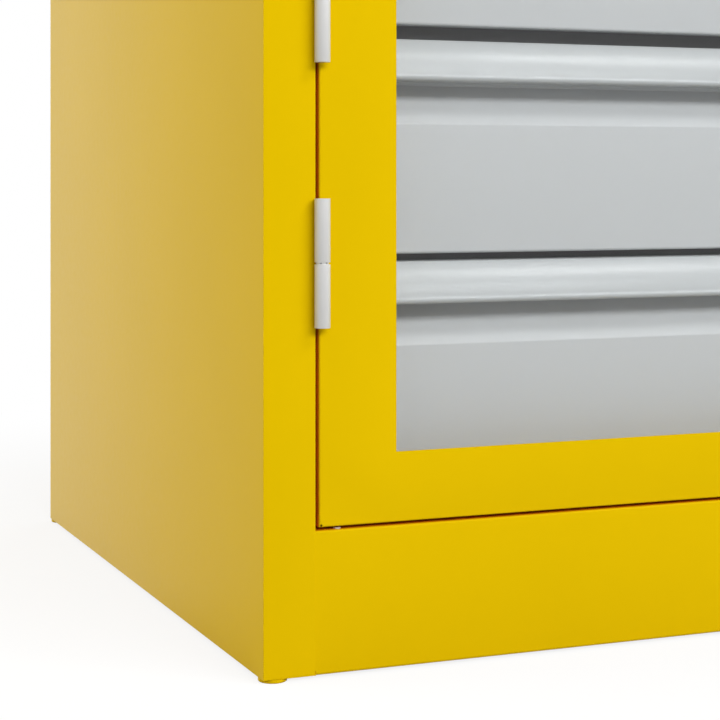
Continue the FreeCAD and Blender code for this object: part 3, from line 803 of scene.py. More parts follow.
def rail_section(node, name, up):
    """Plinth or header: stop, ledge, face and flange folded from one sheet, between the posts."""
    body = settings("body")
    low, high = corners(node)
    stop_front = corners("door_buffers")[1].y
    tip, end = (high.z, low.z) if up else (low.z, high.z)
    ledge = tip - body.stop if up else tip + body.stop
    path = [
        (low.x, stop_front, tip),
        (low.x, stop_front, ledge),
        (low.x, low.y, ledge),
        (low.x, low.y, end),
        (low.x, high.y, end),
    ]
    radii = [body.fold - body.sheet, body.fold, body.fold]
    return folded(name, path, (high.x - low.x, 0, 0), BACK, body.sheet, radii, body.edge, FOLD_STEPS)


def rebate_test():
    """A test for faces on the walls of the rebate that the door sits in, behind its rounded front edge.
    These faces get the painted gap shade.
    """
    body = settings("body")
    low, high = corners("plinth_panel")
    slack = 0.1 * MM
    reach = high.x + slack
    front = low.y + 1.2 * body.fold
    back = corners("door_buffers")[1].y + slack
    ledge = high.z - body.stop - slack
    lintel = corners("header_rail")[0].z + body.stop + slack

    def inside(face):
        spot = face.calc_center_median()
        return front < spot.y < back and abs(spot.x) < reach and ledge < spot.z < lintel

    return inside


def glide(name, node):
    """Glide foot: a turned disc with a soft rim, on a stud."""
    hardware = settings("hardware")
    low, high = corners(node)
    middle = (low + high) / 2
    rise = hardware.foot_rise
    sole_edge, rim_edge, stud_tip = 0.8 * MM, 0.25 * MM, 0.6 * MM
    pad = disc("pad", (middle.x, middle.y, 0), UP, (high.x - low.x) / 2, rise, sides=64)
    bevel(pad, lambda e: at(e, Z, 0.0), sole_edge, segments=4)
    bevel(pad, lambda e: at(e, Z, rise), rim_edge, segments=2)
    stud = disc("stud", (middle.x, middle.y, rise), UP, hardware.stud, high.z - rise, sides=32)
    bevel(stud, lambda e: at(e, Z, high.z), stud_tip, segments=1)
    return smooth(join(name, [pad, stud]))


# ---------------------------------------------------------------- hinges


def end_face(face):
    """True for the flat end of a barrel or ring that stands upright."""
    return abs(face.normal.z) > 0.99 and len(face.verts) > 4


def hinge_half(name, node, leaf_x, closed_top):
    """Rolled knuckle with a flat leaf behind it."""
    hardware = settings("hardware")
    low, high = corners(node)
    radius, height = hardware.knuckle, high.z - low.z
    x, y = low.x + radius, low.y + radius
    end_edge, bore_share = 0.12 * MM, 0.9
    barrel = disc("barrel", (x, y, low.z), UP, radius, height, sides=72)
    for level in (low.z, high.z):
        bevel(barrel, lambda e: at(e, Z, level), end_edge, segments=2)
    edit(barrel)
    pick(barrel, "faces", lambda f: end_face(f) and not (closed_top and f.normal.z > 0))
    bpy.ops.mesh.inset(thickness=radius - hardware.pin - hardware.play)
    if closed_top:
        bpy.ops.mesh.extrude_region_move(TRANSFORM_OT_translate={"value": (0, 0, bore_share * height)})
    else:
        bpy.ops.mesh.bridge_edge_loops()
    leave()
    face_out(barrel)
    smooth(barrel)
    root, margin = 3.5 * MM, 3.0 * MM
    leaf = block(
        "leaf",
        (leaf_x, y + root, low.z + margin),
        (leaf_x + hardware.leaf, high.y, high.z - margin),
    )
    soften(leaf, COAT_EDGE)
    smooth(leaf)
    return join(name, [barrel, leaf])


def hinge_pin(name, middle, low, high):
    """Headless pin with domed ends."""
    dome = 0.5 * MM
    pin = disc(name, (*middle, low), UP, settings("hardware").pin, high - low)
    for level in (low, high):
        bevel(pin, lambda e: at(e, Z, level), dome)
    return smooth(pin)


def hinge_washer(name, middle, low, high, radius):
    """Thrust washer with grease slots cut down into its rim."""
    hardware = settings("hardware")
    height = high - low
    slots, first, floor_share = 6, math.radians(-65.7), 0.2
    slot_reach, edge = 2.2 * MM, 0.08 * MM
    ring = disc(name, (*middle, low), UP, radius, height, sides=72)
    edit(ring)
    pick(ring, "faces", end_face)
    bpy.ops.mesh.inset(thickness=radius - hardware.pin - hardware.play)
    bpy.ops.mesh.bridge_edge_loops()
    leave()
    face_out(ring)
    grooves = []
    for i in range(slots):
        angle = first + i * 2 * math.pi / slots
        spot = (
            middle[0] + math.cos(angle) * radius,
            middle[1] + math.sin(angle) * radius,
            low + (1 + floor_share) * height,
        )
        alone()
        bpy.ops.mesh.primitive_cube_add(
            size=1, location=spot, rotation=(0, 0, angle), scale=(slot_reach, hardware.groove, 2 * height)
        )
        grooves.append(place(bpy.context.object, "groove"))
    cut(ring, grooves)
    soften(ring, edge, 1)
    return smooth(ring)


# ---------------------------------------------------------------- door


def window_edges():
    """Left, right, lower and upper edge of the window in the door's skin."""
    low, high = corners("pane_tape")
    cover = settings("door").window
    return low.x + cover, high.x - cover, low.z + cover, high.z - cover


def door_skin():
    """Face sheet with its window, folded back at all four edges and in again behind."""
    door = settings("door")
    low, high = corners("door_skin")
    left, right, sill, head = window_edges()
    centre = (low + high) / 2
    skin = plane("door_skin_sheet", (centre.x, low.y, centre.z), UPRIGHT, high.x - low.x, high.z - low.z)
    for x in (left, right):
        bisect(skin, (x, 0, 0), (1, 0, 0))
    for z in (sill, head):
        bisect(skin, (0, 0, z), UP)

    def in_window(face):
        spot = face.calc_center_median()
        return left < spot.x < right and sill < spot.z < head

    def rim(item):
        return any(at(item, axis, corner[axis]) for axis in (X, Z) for corner in (low, high))

    delete_faces(skin, in_window)
    edit(skin)
    pick(skin, "edges", rim)
    bpy.ops.mesh.extrude_region_move(TRANSFORM_OT_translate={"value": (0, high.y - low.y, 0)})
    bpy.ops.mesh.extrude_region_move(TRANSFORM_OT_translate={"value": (0, 0, 0)})
    shrink = (1 - 2 * door.lip / (high.x - low.x), 1, 1 - 2 * door.lip / (high.z - low.z))
    bpy.ops.transform.resize(value=shrink, center_override=(centre.x, high.y, centre.z))
    leave()
    bevel(skin, lambda e: rim(e) and at(e, Y, low.y), door.edge, FOLD_STEPS)
    bevel(skin, lambda e: rim(e) and at(e, Y, high.y), door.edge)
    thicken(skin, door.sheet, lambda mesh: min(mesh.faces, key=lambda f: f.calc_center_median().y), BACK)
    soften(skin, COAT_EDGE)
    lock_low, lock_high = corners("lock_housing")
    middle = (lock_low + lock_high) / 2
    ahead = 1.0 * MM
    front, lock_depth, relief_depth = low.y - ahead, 5 * ahead, 4 * ahead
    holes = [disc("hole", (middle.x, front, middle.z), BACK, door.lock_hole, lock_depth, sides=64)]
    inset = 1.6 * door.relief
    for x in (low.x + inset, high.x - inset):
        for z in (low.z + inset, high.z - inset):
            holes.append(disc("hole", (x, front, z), BACK, door.relief, relief_depth, sides=24))
    cut(skin, holes)
    return smooth(skin)


def window_tape():
    """Foam tape laid in a closed frame under the pane's edge."""
    low, high = corners("pane_tape")
    centre = (low + high) / 2
    edge = 0.3 * MM
    tape = plane("pane_tape_frame", (centre.x, low.y, centre.z), UPRIGHT, high.x - low.x, high.z - low.z)
    edit(tape)
    bpy.ops.mesh.select_all(action="SELECT")
    bpy.ops.mesh.inset(thickness=settings("door").tape)
    bpy.ops.mesh.delete(type="FACE")
    bpy.ops.mesh.select_all(action="SELECT")
    bpy.ops.mesh.extrude_region_move(TRANSFORM_OT_translate={"value": (0, high.y - low.y, 0)})
    leave()
    face_out(tape)
    soften(tape, edge)
    return smooth(tape)


def window_pane():
    """Glass pane with ground arrises."""
    arris = 0.4 * MM
    pane = block("window_glass", *corners("window_pane"))
    bevel(pane, lambda e: not along(e, Y), arris, segments=1)
    return pane


def bead_screw():
    """Pan-head screw that stands on the origin with its head up, with a cross recess."""
    height, crown, recess_floor = 1.8 * MM, 0.9 * MM, 0.7 * MM
    arm, half_width = 1.8 * MM, 0.45 * MM
    length_below, radius, tip = 7.5 * MM, 1.45 * MM, 0.6 * MM
    head = disc("head", (0, 0, 0), UP, settings("door").screw_head, height, sides=32)
    bevel(head, lambda e: at(e, Z, height), crown, segments=4)
    above = height + recess_floor
    cut(
        head,
        [
            block("arm", (-wide, -deep, recess_floor), (wide, deep, above))
            for wide, deep in ((arm, half_width), (half_width, arm))
        ],
    )
    shank = disc("shank", (0, 0, -length_below), UP, radius, length_below, sides=20)
    bevel(shank, lambda e: at(e, Z, -length_below), tip, segments=2)
    return join("screw", [head, shank])


def all_bead_screws():
    """The bead screws along the window's four sides: one is modelled and the rest are copies."""
    low, high = corners("bead_screws")
    bead_low, bead_high = corners("glazing_beads")
    left, right, sill, head = window_edges()
    y = (low.y + high.y) / 2
    sheet = settings("door").bead_sheet
    quarter = math.pi / 2
    model = bead_screw()
    screws = []
    for i in range(SCREWS_PER_SIDE):
        share = (i + 0.5) / SCREWS_PER_SIDE
        x, z = left + share * (right - left), sill + share * (head - sill)
        for spot, turn in (
            ((bead_low.x + sheet, y, z), quarter),
            ((bead_high.x - sheet, y, z), -quarter),
            ((x, y, bead_low.z + sheet), 0),
            ((x, y, bead_high.z - sheet), 2 * quarter),
        ):
            screws.append(copied(model, "screw", spot, (0, turn, 0)))
    bpy.data.objects.remove(model)
    return smooth(join("bead_pan_screws", screws))


def button_pair(name, foot, axis, radius, height, edge, shift):
    """Two small moulded discs, each with one soft edge."""
    axis = Vector(axis)
    top = Vector(foot) + axis * height
    piece = disc("button", foot, axis, radius, height, sides=40)
    bevel(piece, lambda e: all(abs((v.co - top).dot(axis)) < TOUCH for v in e.verts), edge)
    smooth(piece)
    return join(name, [piece, copied(piece, "twin", shift)])


def door_buffers():
    """Rubber buffers that the door shuts against."""
    low, high = corners("door_buffers")
    radius = (high.x - low.x) / 2
    foot = (low.x + radius, high.y, low.z + radius)
    shift = (0, 0, high.z - low.z - 2 * radius)
    return button_pair("rubber_buffers", foot, FRONT, radius, high.y - low.y, 0.5 * MM, shift)


def door_rest_pads():
    """Nylon pads on the ledge, which the shut door rests on."""
    low, high = corners("door_rest_pads")
    radius = (high.y - low.y) / 2
    foot = (low.x + radius, low.y + radius, low.z)
    shift = (high.x - low.x - 2 * radius, 0, 0)
    return button_pair("nylon_rest_pads", foot, UP, radius, high.z - low.z, 0.3 * MM, shift)


# ---------------------------------------------------------------- lock


def rosette():
    """Turned rosette with its barrel through the door."""
    low, high = corners("lock_housing")
    middle = (low + high) / 2
    door_front = corners("door_skin")[0].y
    rim, land, step, sink = 0.9 * MM, 0.8 * MM, 0.3 * MM, 0.25 * MM
    barrel_radius, barrel_edge = 9.5 * MM, 0.5 * MM
    foot = (middle.x, door_front, middle.z)
    plate = disc("plate", foot, FRONT, (high.x - low.x) / 2, door_front - low.y, sides=96)
    bevel(plate, lambda e: at(e, Y, low.y), rim, segments=4)
    edit(plate)
    pick(plate, "faces", lambda f: at(f, Y, low.y) and len(f.verts) > 4)
    bpy.ops.mesh.inset(thickness=land)
    bpy.ops.mesh.inset(thickness=step)
    bpy.ops.transform.translate(value=(0, sink, 0))
    leave()
    barrel = disc("barrel", foot, BACK, barrel_radius, high.y - door_front, sides=64)
    bevel(barrel, lambda e: at(e, Y, high.y), barrel_edge, segments=1)
    return smooth(join("lock_rosette", [plate, barrel]))


def knob():
    """Round knob with an upright grip across it and a seat for the key cylinder."""
    hardware = settings("hardware")
    low, high = corners("lock_knob")
    middle = (low + high) / 2
    face = high.y - hardware.knob_base
    round_edge, back_edge, grip_edge, soft = 1.5 * MM, 0.3 * MM, 1.2 * MM, 0.25 * MM
    overlap = 2 * MM
    base = disc("base", (middle.x, high.y, middle.z), FRONT, hardware.knob, high.y - face, sides=96)
    bevel(base, lambda e: at(e, Y, face), round_edge, segments=5)
    bevel(base, lambda e: at(e, Y, high.y), back_edge, segments=2)
    foot = (middle.x, face + overlap, middle.z)
    grip = disc("grip", foot, FRONT, hardware.knob - round_edge, foot[Y] - low.y, sides=96)
    for way in (1, -1):
        edit(grip)
        bpy.ops.mesh.select_all(action="SELECT")
        side = (middle.x + way * hardware.grip / 2, 0, 0)
        bpy.ops.mesh.bisect(plane_co=side, plane_no=(way, 0, 0), use_fill=True, clear_outer=True)
        leave()
    bevel(grip, lambda e: at(e, Y, low.y), grip_edge, segments=4)
    depth = hardware.seat_depth
    cut(grip, [disc("seat", (middle.x, low.y - depth, middle.z), BACK, hardware.seat, 2 * depth)])
    soften(grip, soft, angle=40)
    return smooth(join("lock_turn_knob", [base, grip]))


def cylinder():
    """Key cylinder with its slot."""
    low, high = corners("key_cylinder")
    middle = (low + high) / 2
    rim, half_width, depth = 0.25 * MM, 0.5 * MM, 3.0 * MM
    half = settings("hardware").key_slot / 2
    foot = (middle.x, high.y, middle.z)
    plug = disc("lock_key_cylinder", foot, FRONT, (high.x - low.x) / 2, high.y - low.y)
    bevel(plug, lambda e: at(e, Y, low.y), rim, segments=2)
    slot_low = (middle.x - half_width, low.y - depth, middle.z - half)
    slot_high = (middle.x + half_width, low.y + depth, middle.z + half)
    cut(plug, [block("slot", slot_low, slot_high)])
    return smooth(plug)


def hex_nut(name, foot, axis, flats, height, turn=0.0):
    """Hexagonal nut with its corners turned off at both faces."""
    edge = 0.6 * MM
    nut = disc(name, foot, axis, flats / 2, height, sides=6)
    middle = Vector(foot) + Vector(axis) * height / 2
    edit(nut)
    bpy.ops.mesh.select_all(action="SELECT")
    wide = 1 / math.cos(math.pi / 6)
    bpy.ops.transform.resize(value=[1 if part else wide for part in axis], center_override=middle)
    if turn:
        bpy.ops.transform.rotate(value=turn, orient_axis="XYZ"[axis.index(1)], center_override=middle)
    leave()
    soften(nut, edge, angle=50)
    return smooth(nut)


def lock_nut():
    """Flat nut that holds the lock behind the door's skin."""
    low, high = corners("lock_nut")
    foot = ((low.x + high.x) / 2, low.y, (low.z + high.z) / 2)
    return hex_nut("lock_hex_nut", foot, BACK, high.x - low.x, high.y - low.y, turn=math.pi / 6)


def spindle():
    """Round shaft between the knob and the cam, through the middle of the lock's nut."""
    nut_low, nut_high = corners("lock_nut")
    low, high = corners("lock_spindle")
    end_edge = 0.4 * MM
    foot = ((nut_low.x + nut_high.x) / 2, low.y, (nut_low.z + nut_high.z) / 2)
    shaft = disc("lock_shaft", foot, BACK, (high.x - low.x) / 2, high.y - low.y, sides=40)
    bevel(shaft, lambda e: at(e, Y, high.y), end_edge, segments=2)
    return smooth(shaft)


def cam():
    """Flat cam with round ends."""
    low, high = corners("lock_cam")
    short_of_round, edge = 0.05 * MM, 0.3 * MM
    plate = block("lock_cam_plate", low, high)
    bevel(plate, lambda e: along(e, Y), (high.x - low.x) / 2 - short_of_round, segments=8)
    soften(plate, edge)
    return smooth(plate)


# ---------------------------------------------------------------- drawers

# Each piece is modelled for the first drawer and copied for the others.


def arc_points(start, middle, end, steps):
    """Points along the circle through three points in the y, z plane."""
    ay, az, by, bz, cy, cz = start.y, start.z, middle.y, middle.z, end.y, end.z
    d = 2 * (ay * (bz - cz) + by * (cz - az) + cy * (az - bz))
    a2, b2, c2 = ay * ay + az * az, by * by + bz * bz, cy * cy + cz * cz
    uy = (a2 * (bz - cz) + b2 * (cz - az) + c2 * (az - bz)) / d
    uz = (a2 * (cy - by) + b2 * (ay - cy) + c2 * (by - ay)) / d
    radius = math.hypot(ay - uy, az - uz)
    first = math.atan2(az - uz, ay - uy)
    last = math.atan2(cz - uz, cy - uy)
    turn = (last - first + math.pi) % (2 * math.pi) - math.pi
    angles = [first + turn * i / steps for i in range(steps + 1)]
    return [Vector((0, uy + radius * math.cos(a), uz + radius * math.sin(a))) for a in angles]


def grip_points(low, high):
    """The grip's closed outline in y, z: crown, bowed nose, bead, underside, lip and back."""
    sizes = settings("drawer")
    bead, start, crown_edge = sizes.bead, sizes.bead_start, sizes.crown
    crown_steps, nose_steps, bead_steps = 6, 24, 14
    flat = high.y - sizes.web
    crown = Vector((0, flat - sizes.overhang, high.z))
    centre = Vector((0, low.y + bead, low.z + sizes.lip + bead))
    nose = centre + Vector((0, -math.cos(start), math.sin(start))) * bead
    chord = nose - crown
    middle = (crown + nose) / 2 + Vector((0, chord.z, -chord.y)).normalized() * sizes.bow
    bowed = arc_points(crown, middle, nose, nose_steps)
    before = crown + Vector((0, crown_edge, 0))
    after = crown + (bowed[1] - crown).normalized() * crown_edge
    points = [Vector((0, high.y, high.z)), before]
    for i in range(1, crown_steps):
        t = i / crown_steps
        points.append((1 - t) ** 2 * before + 2 * t * (1 - t) * crown + t * t * after)
    points += [p for p in bowed if (p - crown).length > crown_edge]
    for i in range(1, bead_steps + 1):
        angle = math.pi - start + i * (start + math.pi / 2) / bead_steps
        points.append(centre + Vector((0, math.cos(angle), math.sin(angle))) * bead)
    lip = flat + sizes.lip_setback
    points += [Vector((0, lip, centre.z - bead)), Vector((0, lip, low.z)), Vector((0, high.y, low.z))]
    return points


def pulled(name, points, start, end):
    """A closed outline in y, z, pulled across from one x to another and capped."""
    first, second = points[0], points[1]
    middle = (first + second) / 2 + Vector(((start + end) / 2, 0, 0))
    run = second - first
    reach = Vector((1, 0, 0))
    turn = Matrix((run.normalized(), reach, run.cross(reach).normalized())).transposed().to_euler()
    obj = plane(name, middle, turn, run.length, end - start)
    edit(obj)
    pick(obj, "edges", lambda e: all((v.co - second).yz.length < TOUCH / 10 for v in e.verts))
    for here, there in zip(points[1:], points[2:] + [first]):
        bpy.ops.mesh.extrude_region_move(TRANSFORM_OT_translate={"value": there - here})
    bpy.ops.mesh.select_all(action="SELECT")
    bpy.ops.mesh.remove_doubles(threshold=TOUCH / 10)
    for x in (start, end):
        pick(obj, "edges", lambda e: at(e, X, x))
        bpy.ops.mesh.edge_face_add()
    leave()
    face_out(obj)
    return obj


def drawer_front(name, node):
    """Folded front with its finger recess, and a plate that closes each end."""
    sizes = settings("drawer")
    sheet, fold = sizes.sheet, sizes.fold
    low, high = corners(node)
    top = corners("drawer_1_grip")[1].z
    web = low.y + sizes.web
    ramp_top, crease = top - sizes.ramp_top, top - sizes.crease
    path = [
        (low.x, web, high.z),
        (low.x, web, ramp_top),
        (low.x, low.y, crease),
        (low.x, low.y, low.z),
        (low.x, low.y + sizes.flange, low.z),
    ]
    reach = (high.x - low.x, 0, 0)
    front = folded("front_sheet", path, reach, BACK, sheet, [fold, fold, fold], STRIP_EDGE)
    inset = 0.02 * MM
    half, behind_web, below_ramp = 0.5 * sheet, 0.6 * sheet, 0.2 * sheet
    outline = [
        Vector((0, high.y - inset, ramp_top)),
        Vector((0, web + behind_web, ramp_top - below_ramp)),
        Vector((0, low.y + half, crease)),
        Vector((0, low.y + half, low.z + half)),
        Vector((0, high.y - inset, low.z + half)),
    ]
    plates = [pulled("plate", outline, x + inset, x + sheet - inset) for x in (low.x, high.x - sheet)]
    return join(name, [front] + plates)


def drawer_grip(name, node):
    """Grip strip, coated as the front is, with its bowed nose and bead. Its material is the darker grey copy
    that paints shade on it.
    """
    low, high = corners(node)
    return smooth(pulled(name, grip_points(low, high), low.x, high.x), CREASE)


def grip_caps(name, node):
    """Moulded caps that close the grip's ends, a hair short of it."""
    low, high = corners(node)
    short = 0.05 * MM
    grip_start = corners("drawer_1_grip")[0].x
    cap = pulled("cap", grip_points(low, high), low.x, grip_start - short)
    soften(cap, COAT_EDGE, angle=40)
    smooth(cap)
    return join(name, [cap, mirrored(cap, "twin")])


def drawer_tray(name, node):
    """Open tray with its rim folded in, and the wall that carries the front."""
    sizes = settings("drawer")
    sheet, bottom_fold = sizes.tray_sheet, 1.4 * MM
    low, high = corners(node)
    rim = high.z - sizes.tray_drop
    tray = block("tray", low, (high.x, high.y, rim))
    bevel(tray, lambda e: at(e, Z, low.z), bottom_fold)
    edit(tray)
    pick(tray, "faces", lambda f: at(f, Z, rim))
    bpy.ops.mesh.inset(thickness=sizes.hem)
    bpy.ops.mesh.delete(type="FACE")
    leave()
    modifier(tray, "SOLIDIFY", thickness=sheet, offset=-1, use_even_offset=True)
    wall = block("wall", (low.x, low.y, rim - sheet), (high.x, low.y + sheet, high.z))
    for piece in (tray, wall):
        soften(piece, COAT_EDGE)
        smooth(piece)
    return join(name, [tray, wall])


def runner_pair(name, node, opens_out):
    """One member of both runners: a rolled channel on the left, and its mirror."""
    sizes = settings("drawer")
    fold = sizes.runner_fold
    low, high = corners(node)
    inner = max(vert.co.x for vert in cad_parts[node].data.vertices if vert.co.x < 0)
    web, free = (inner, low.x) if opens_out else (low.x, inner)
    path = [
        (free, low.y, low.z),
        (web, low.y, low.z),
        (web, low.y, high.z),
        (free, low.y, high.z),
    ]
    reach = (0, high.y - low.y, 0)
    left = folded("channel", path, reach, UP, sizes.runner_sheet, [fold, fold], STRIP_EDGE)
    return join(name, [left, mirrored(left, "twin")])


# ---------------------------------------------------------------- operators


class CABINET_OT_finishes(bpy.types.Operator):
    """Make every finish"""

    bl_idname = "cabinet.finishes"
    bl_label = "Finishes"

    def execute(self, context):
        make_coats()
        return {"FINISHED"}


class CABINET_OT_shell(bpy.types.Operator):
    """Model the side panels, the plinth and the header"""

    bl_idname = "cabinet.shell"
    bl_label = "Body shell"

    def execute(self, context):
        left = side_panel()
        sheets = {
            "left_side_panel": left,
            "right_side_panel": mirrored(left, "side_panel_right"),
            "plinth_panel": rail_section("plinth_panel", "plinth_sheet", True),
            "header_rail": rail_section("header_rail", "header_sheet", False),
        }
        inside = rebate_test()
        for node, sheet in sheets.items():
            show(sheet, "yellow", "cabinet", node)
            # The rebate's faces get the orange that paints the gap's shade.
            repaint(sheet, "fold", inside)
        return {"FINISHED"}


class CABINET_OT_glides(bpy.types.Operator):
    """Model the glide feet"""

    bl_idname = "cabinet.glides"
    bl_label = "Glide feet"

    def execute(self, context):
        places = ("front_left", "front_right", "rear_left", "rear_right")
        nodes = [f"foot_{place_name}" for place_name in places]
        names = [f"glide_{place_name}" for place_name in places]
        for node, foot in zip(nodes, repeated(glide(names[0], nodes[0]), nodes, names)):
            show(foot, "yellow", "cabinet", node)
        low, high = corners(nodes[0])
        nut_low, nut_high = corners("foot_nuts")
        spot = ((low.x + high.x) / 2, (low.y + high.y) / 2, nut_low.z)
        nut = hex_nut("nut", spot, UP, settings("hardware").nut, nut_high.z - nut_low.z)
        nuts = join("foot_hex_nuts", repeated(nut, nodes, names))
        show(nuts, "zinc", "cabinet", "foot_nuts")
        return {"FINISHED"}


class CABINET_OT_inner_sheets(bpy.types.Operator):
    """Finish the floor, the top, the rear panel, the inner walls and the rails"""

    bl_idname = "cabinet.inner_sheets"
    bl_label = "Inner sheets"

    def execute(self, context):
        edge = settings("body").edge
        sheets = (
            ("floor_pan", "floor_panel", "yellow", "yellow_powder_coat"),
            ("top_sheet", "top_panel", "yellow", "yellow_powder_coat"),
            ("rear_sheet", "rear_panel", "yellow", "yellow_powder_coat"),
            ("inner_wall_left", "left_spacer", "anthracite", "anthracite_powder_coat"),
            ("inner_wall_right", "right_spacer", "anthracite", "anthracite_powder_coat"),
            ("front_rails", "cross_rails", "anthracite", "anthracite_powder_coat"),
        )
        for name, node, coat, slot in sheets:
            show(dressed(name, node, edge), coat, "cabinet", node)
        return {"FINISHED"}


class CABINET_OT_hinges(bpy.types.Operator):
    """Model both hinges with their pins and washers"""

    bl_idname = "cabinet.hinges"
    bl_label = "Hinges"

    def execute(self, context):
        post = corners("left_side_panel")[0].x + settings("body").post
        door_edge = corners("door_skin")[0].x - settings("hardware").leaf
        levels = ("lower", "upper")
        sides = (("frame", "post", post, "cabinet"), ("door", "door", door_edge, "door"))
        for part, side, leaf, body in sides:
            nodes = [f"hinge_{part}_leaf_{level}" for level in levels]
            names = [f"hinge_{side}_half_{level}" for level in levels]
            model = hinge_half(names[0], nodes[0], leaf, closed_top=part == "door")
            for node, half in zip(nodes, repeated(model, nodes, names)):
                show(half, "zinc", body, node)
        apart = corners(nodes[1])[0].z - corners(nodes[0])[0].z
        low, high = corners("hinge_pins")
        middle = ((low.x + high.x) / 2, (low.y + high.y) / 2)
        pin = hinge_pin("pin", middle, low.z, high.z - apart)
        low, high = corners("hinge_washers")
        washer = hinge_washer("washer", middle, low.z, high.z - apart, (high.x - low.x) / 2)
        pins, washers = [
            join(name, [model, copied(model, "twin", (0, 0, apart))])
            for name, model in (("hinge_pin_pair", pin), ("hinge_thrust_washers", washer))
        ]
        show(pins, "polished", "cabinet", "hinge_pins")
        # The washers get the lighter zinc, painted light for their shaded gap.
        show(washers, "washer", "cabinet", "hinge_washers")
        return {"FINISHED"}


class CABINET_OT_door(bpy.types.Operator):
    """Model the door's skin and finish its stiffeners, buffers and pads"""

    bl_idname = "cabinet.door"
    bl_label = "Door"

    def execute(self, context):
        skin = door_skin()
        show(skin, "yellow", "door", "door_skin")
        box = corners("door_skin")
        slack = 0.01 * MM
        behind_edge = box[0].y + 1.1 * settings("door").edge

        def in_gap(face):
            """True on the door's four sides, behind the round edge of its face."""
            side = any(at(face, axis, corner[axis], slack) for corner in box for axis in (X, Z))
            return side and face.calc_center_median().y > behind_edge

        # The door's sides in the gap get the orange that paints the gap's shade.
        repaint(skin, "fold", in_gap)
        channels = dressed("door_channels", "door_stiffeners", settings("body").edge)
        show(channels, "yellow", "door", "door_stiffeners")
        show(door_buffers(), "rubber", "cabinet", "door_buffers")
        show(door_rest_pads(), "nylon", "cabinet", "door_rest_pads")
        return {"FINISHED"}


class CABINET_OT_window(bpy.types.Operator):
    """Model the pane, its tape, its beads and their screws"""

    bl_idname = "cabinet.window"
    bl_label = "Window"

    def execute(self, context):
        show(window_pane(), "glass", "door", "window_pane")
        show(window_tape(), "foam", "door", "pane_tape")
        beads = dressed("glazing_angles", "glazing_beads", COAT_EDGE)
        show(beads, "yellow", "door", "glazing_beads")
        show(all_bead_screws(), "zinc", "door", "bead_screws")
        return {"FINISHED"}


class CABINET_OT_lock(bpy.types.Operator):
    """Model the lock's rosette, knob, key cylinder, nut, spindle and cam"""

    bl_idname = "cabinet.lock"
    bl_label = "Lock"

    def execute(self, context):
        show(rosette(), "nickel", "door", "lock_housing")
        show(knob(), "nickel", "lock", "lock_knob")
        show(cylinder(), "brass", "lock", "key_cylinder")
        show(cam(), "zinc", "lock", "lock_cam")
        show(lock_nut(), "zinc", "door", "lock_nut")
        show(spindle(), "zinc", "lock", "lock_spindle")
        return {"FINISHED"}


def show_drawer_part(part, coat, make, name, owner="drawer_{}"):
    """Models a part of the first drawer, copies it for the others and shows them all."""
    nodes = [f"drawer_{number}_{part}" for number in DRAWERS]
    names = [f"drawer_{number}_{name}" for number in DRAWERS]
    for number, node, piece in zip(DRAWERS, nodes, repeated(make(names[0], nodes[0]), nodes, names)):
        show(piece, coat, owner.format(number), node)


class CABINET_OT_drawers(bpy.types.Operator):
    """Model the fronts, grips, caps and trays of the drawers"""

    bl_idname = "cabinet.drawers"
    bl_label = "Drawers"

    def execute(self, context):
        show_drawer_part("front", "grey", drawer_front, "front_panel")
        # The grips get the darker grey copy of the coat, painted shade.
        show_drawer_part("grip", "grip", drawer_grip, "grip_strip")
        show_drawer_part("grip_ends", "cap", grip_caps, "grip_caps")
        show_drawer_part("tray", "grey", drawer_tray, "tray_box")
        return {"FINISHED"}


class CABINET_OT_runners(bpy.types.Operator):
    """Model the three members of each pair of runners"""

    bl_idname = "cabinet.runners"
    bl_label = "Runners"

    def execute(self, context):
        owners = {"fixed": "cabinet", "middle": "drawer_{}_slide_members", "inner": "drawer_{}"}
        for member, owner in owners.items():
            channels = functools.partial(runner_pair, opens_out=member == "inner")
            part, name = f"{member}_runners", f"{member}_channels"
            show_drawer_part(part, "rolled", channels, name, owner)
        return {"FINISHED"}


def stage_floor(behind):
    """Wide board under the cabinet, shown plain white to the camera but for the cabinet's soft shadow."""
    across, shadow_end, shadow_depth = 60.0, (0.45, 1.1), 0.84
    floor = plane("stage_floor", (0, 0, 0), (0, 0, 0), across, across)
    made, tree, place_on = material("white_painted_board")
    mottle = add(tree, "ShaderNodeTexNoise", {"Vector": place_on, "Scale": per_metre(40), "Detail": 3.0})
    shade = add(
        tree,
        "ShaderNodeMix",
        {"Factor": mottle.outputs["Fac"], "A": linear("F8F8F8"), "B": linear("FBFBFB")},
        data_type="RGBA",
    )
    board = add(tree, "ShaderNodeBsdfDiffuse", {"Color": shade.outputs[2], "Roughness": 0.6})
    bounce = add(tree, "ShaderNodeBsdfDiffuse", {"Color": linear("C0C0C0"), "Roughness": 0.6})
    white = add(tree, "ShaderNodeEmission", {"Color": WHITE, "Strength": 1.0})
    dim = add(tree, "ShaderNodeEmission", {"Color": WHITE, "Strength": dimmed(tree, place_on, behind)})
    gloss = add(tree, "ShaderNodeLightPath").outputs["Is Glossy Ray"]
    glow = either(tree, gloss, white, dim)
    far = add(tree, "ShaderNodeVectorMath", {0: place_on}, operation="LENGTH")
    away = add(
        tree,
        "ShaderNodeMapRange",
        {
            "Value": far.outputs["Value"],
            "From Min": shadow_end[0],
            "From Max": shadow_end[1],
            "To Min": shadow_depth,
            "To Max": 1.0,
        },
        interpolation_type="SMOOTHSTEP",
    )
    mixed = either(tree, away.outputs["Result"], board, glow)
    output(tree, either(tree, seen_directly(tree), bounce, mixed).outputs[0])
    floor.data.materials.append(made)


def either(tree, share, first, second):
    """Mixes two shaders: the first where the share is 0 and the second where it is 1."""
    return add(tree, "ShaderNodeMixShader", {"Fac": share, 1: first.outputs[0], 2: second.outputs[0]})


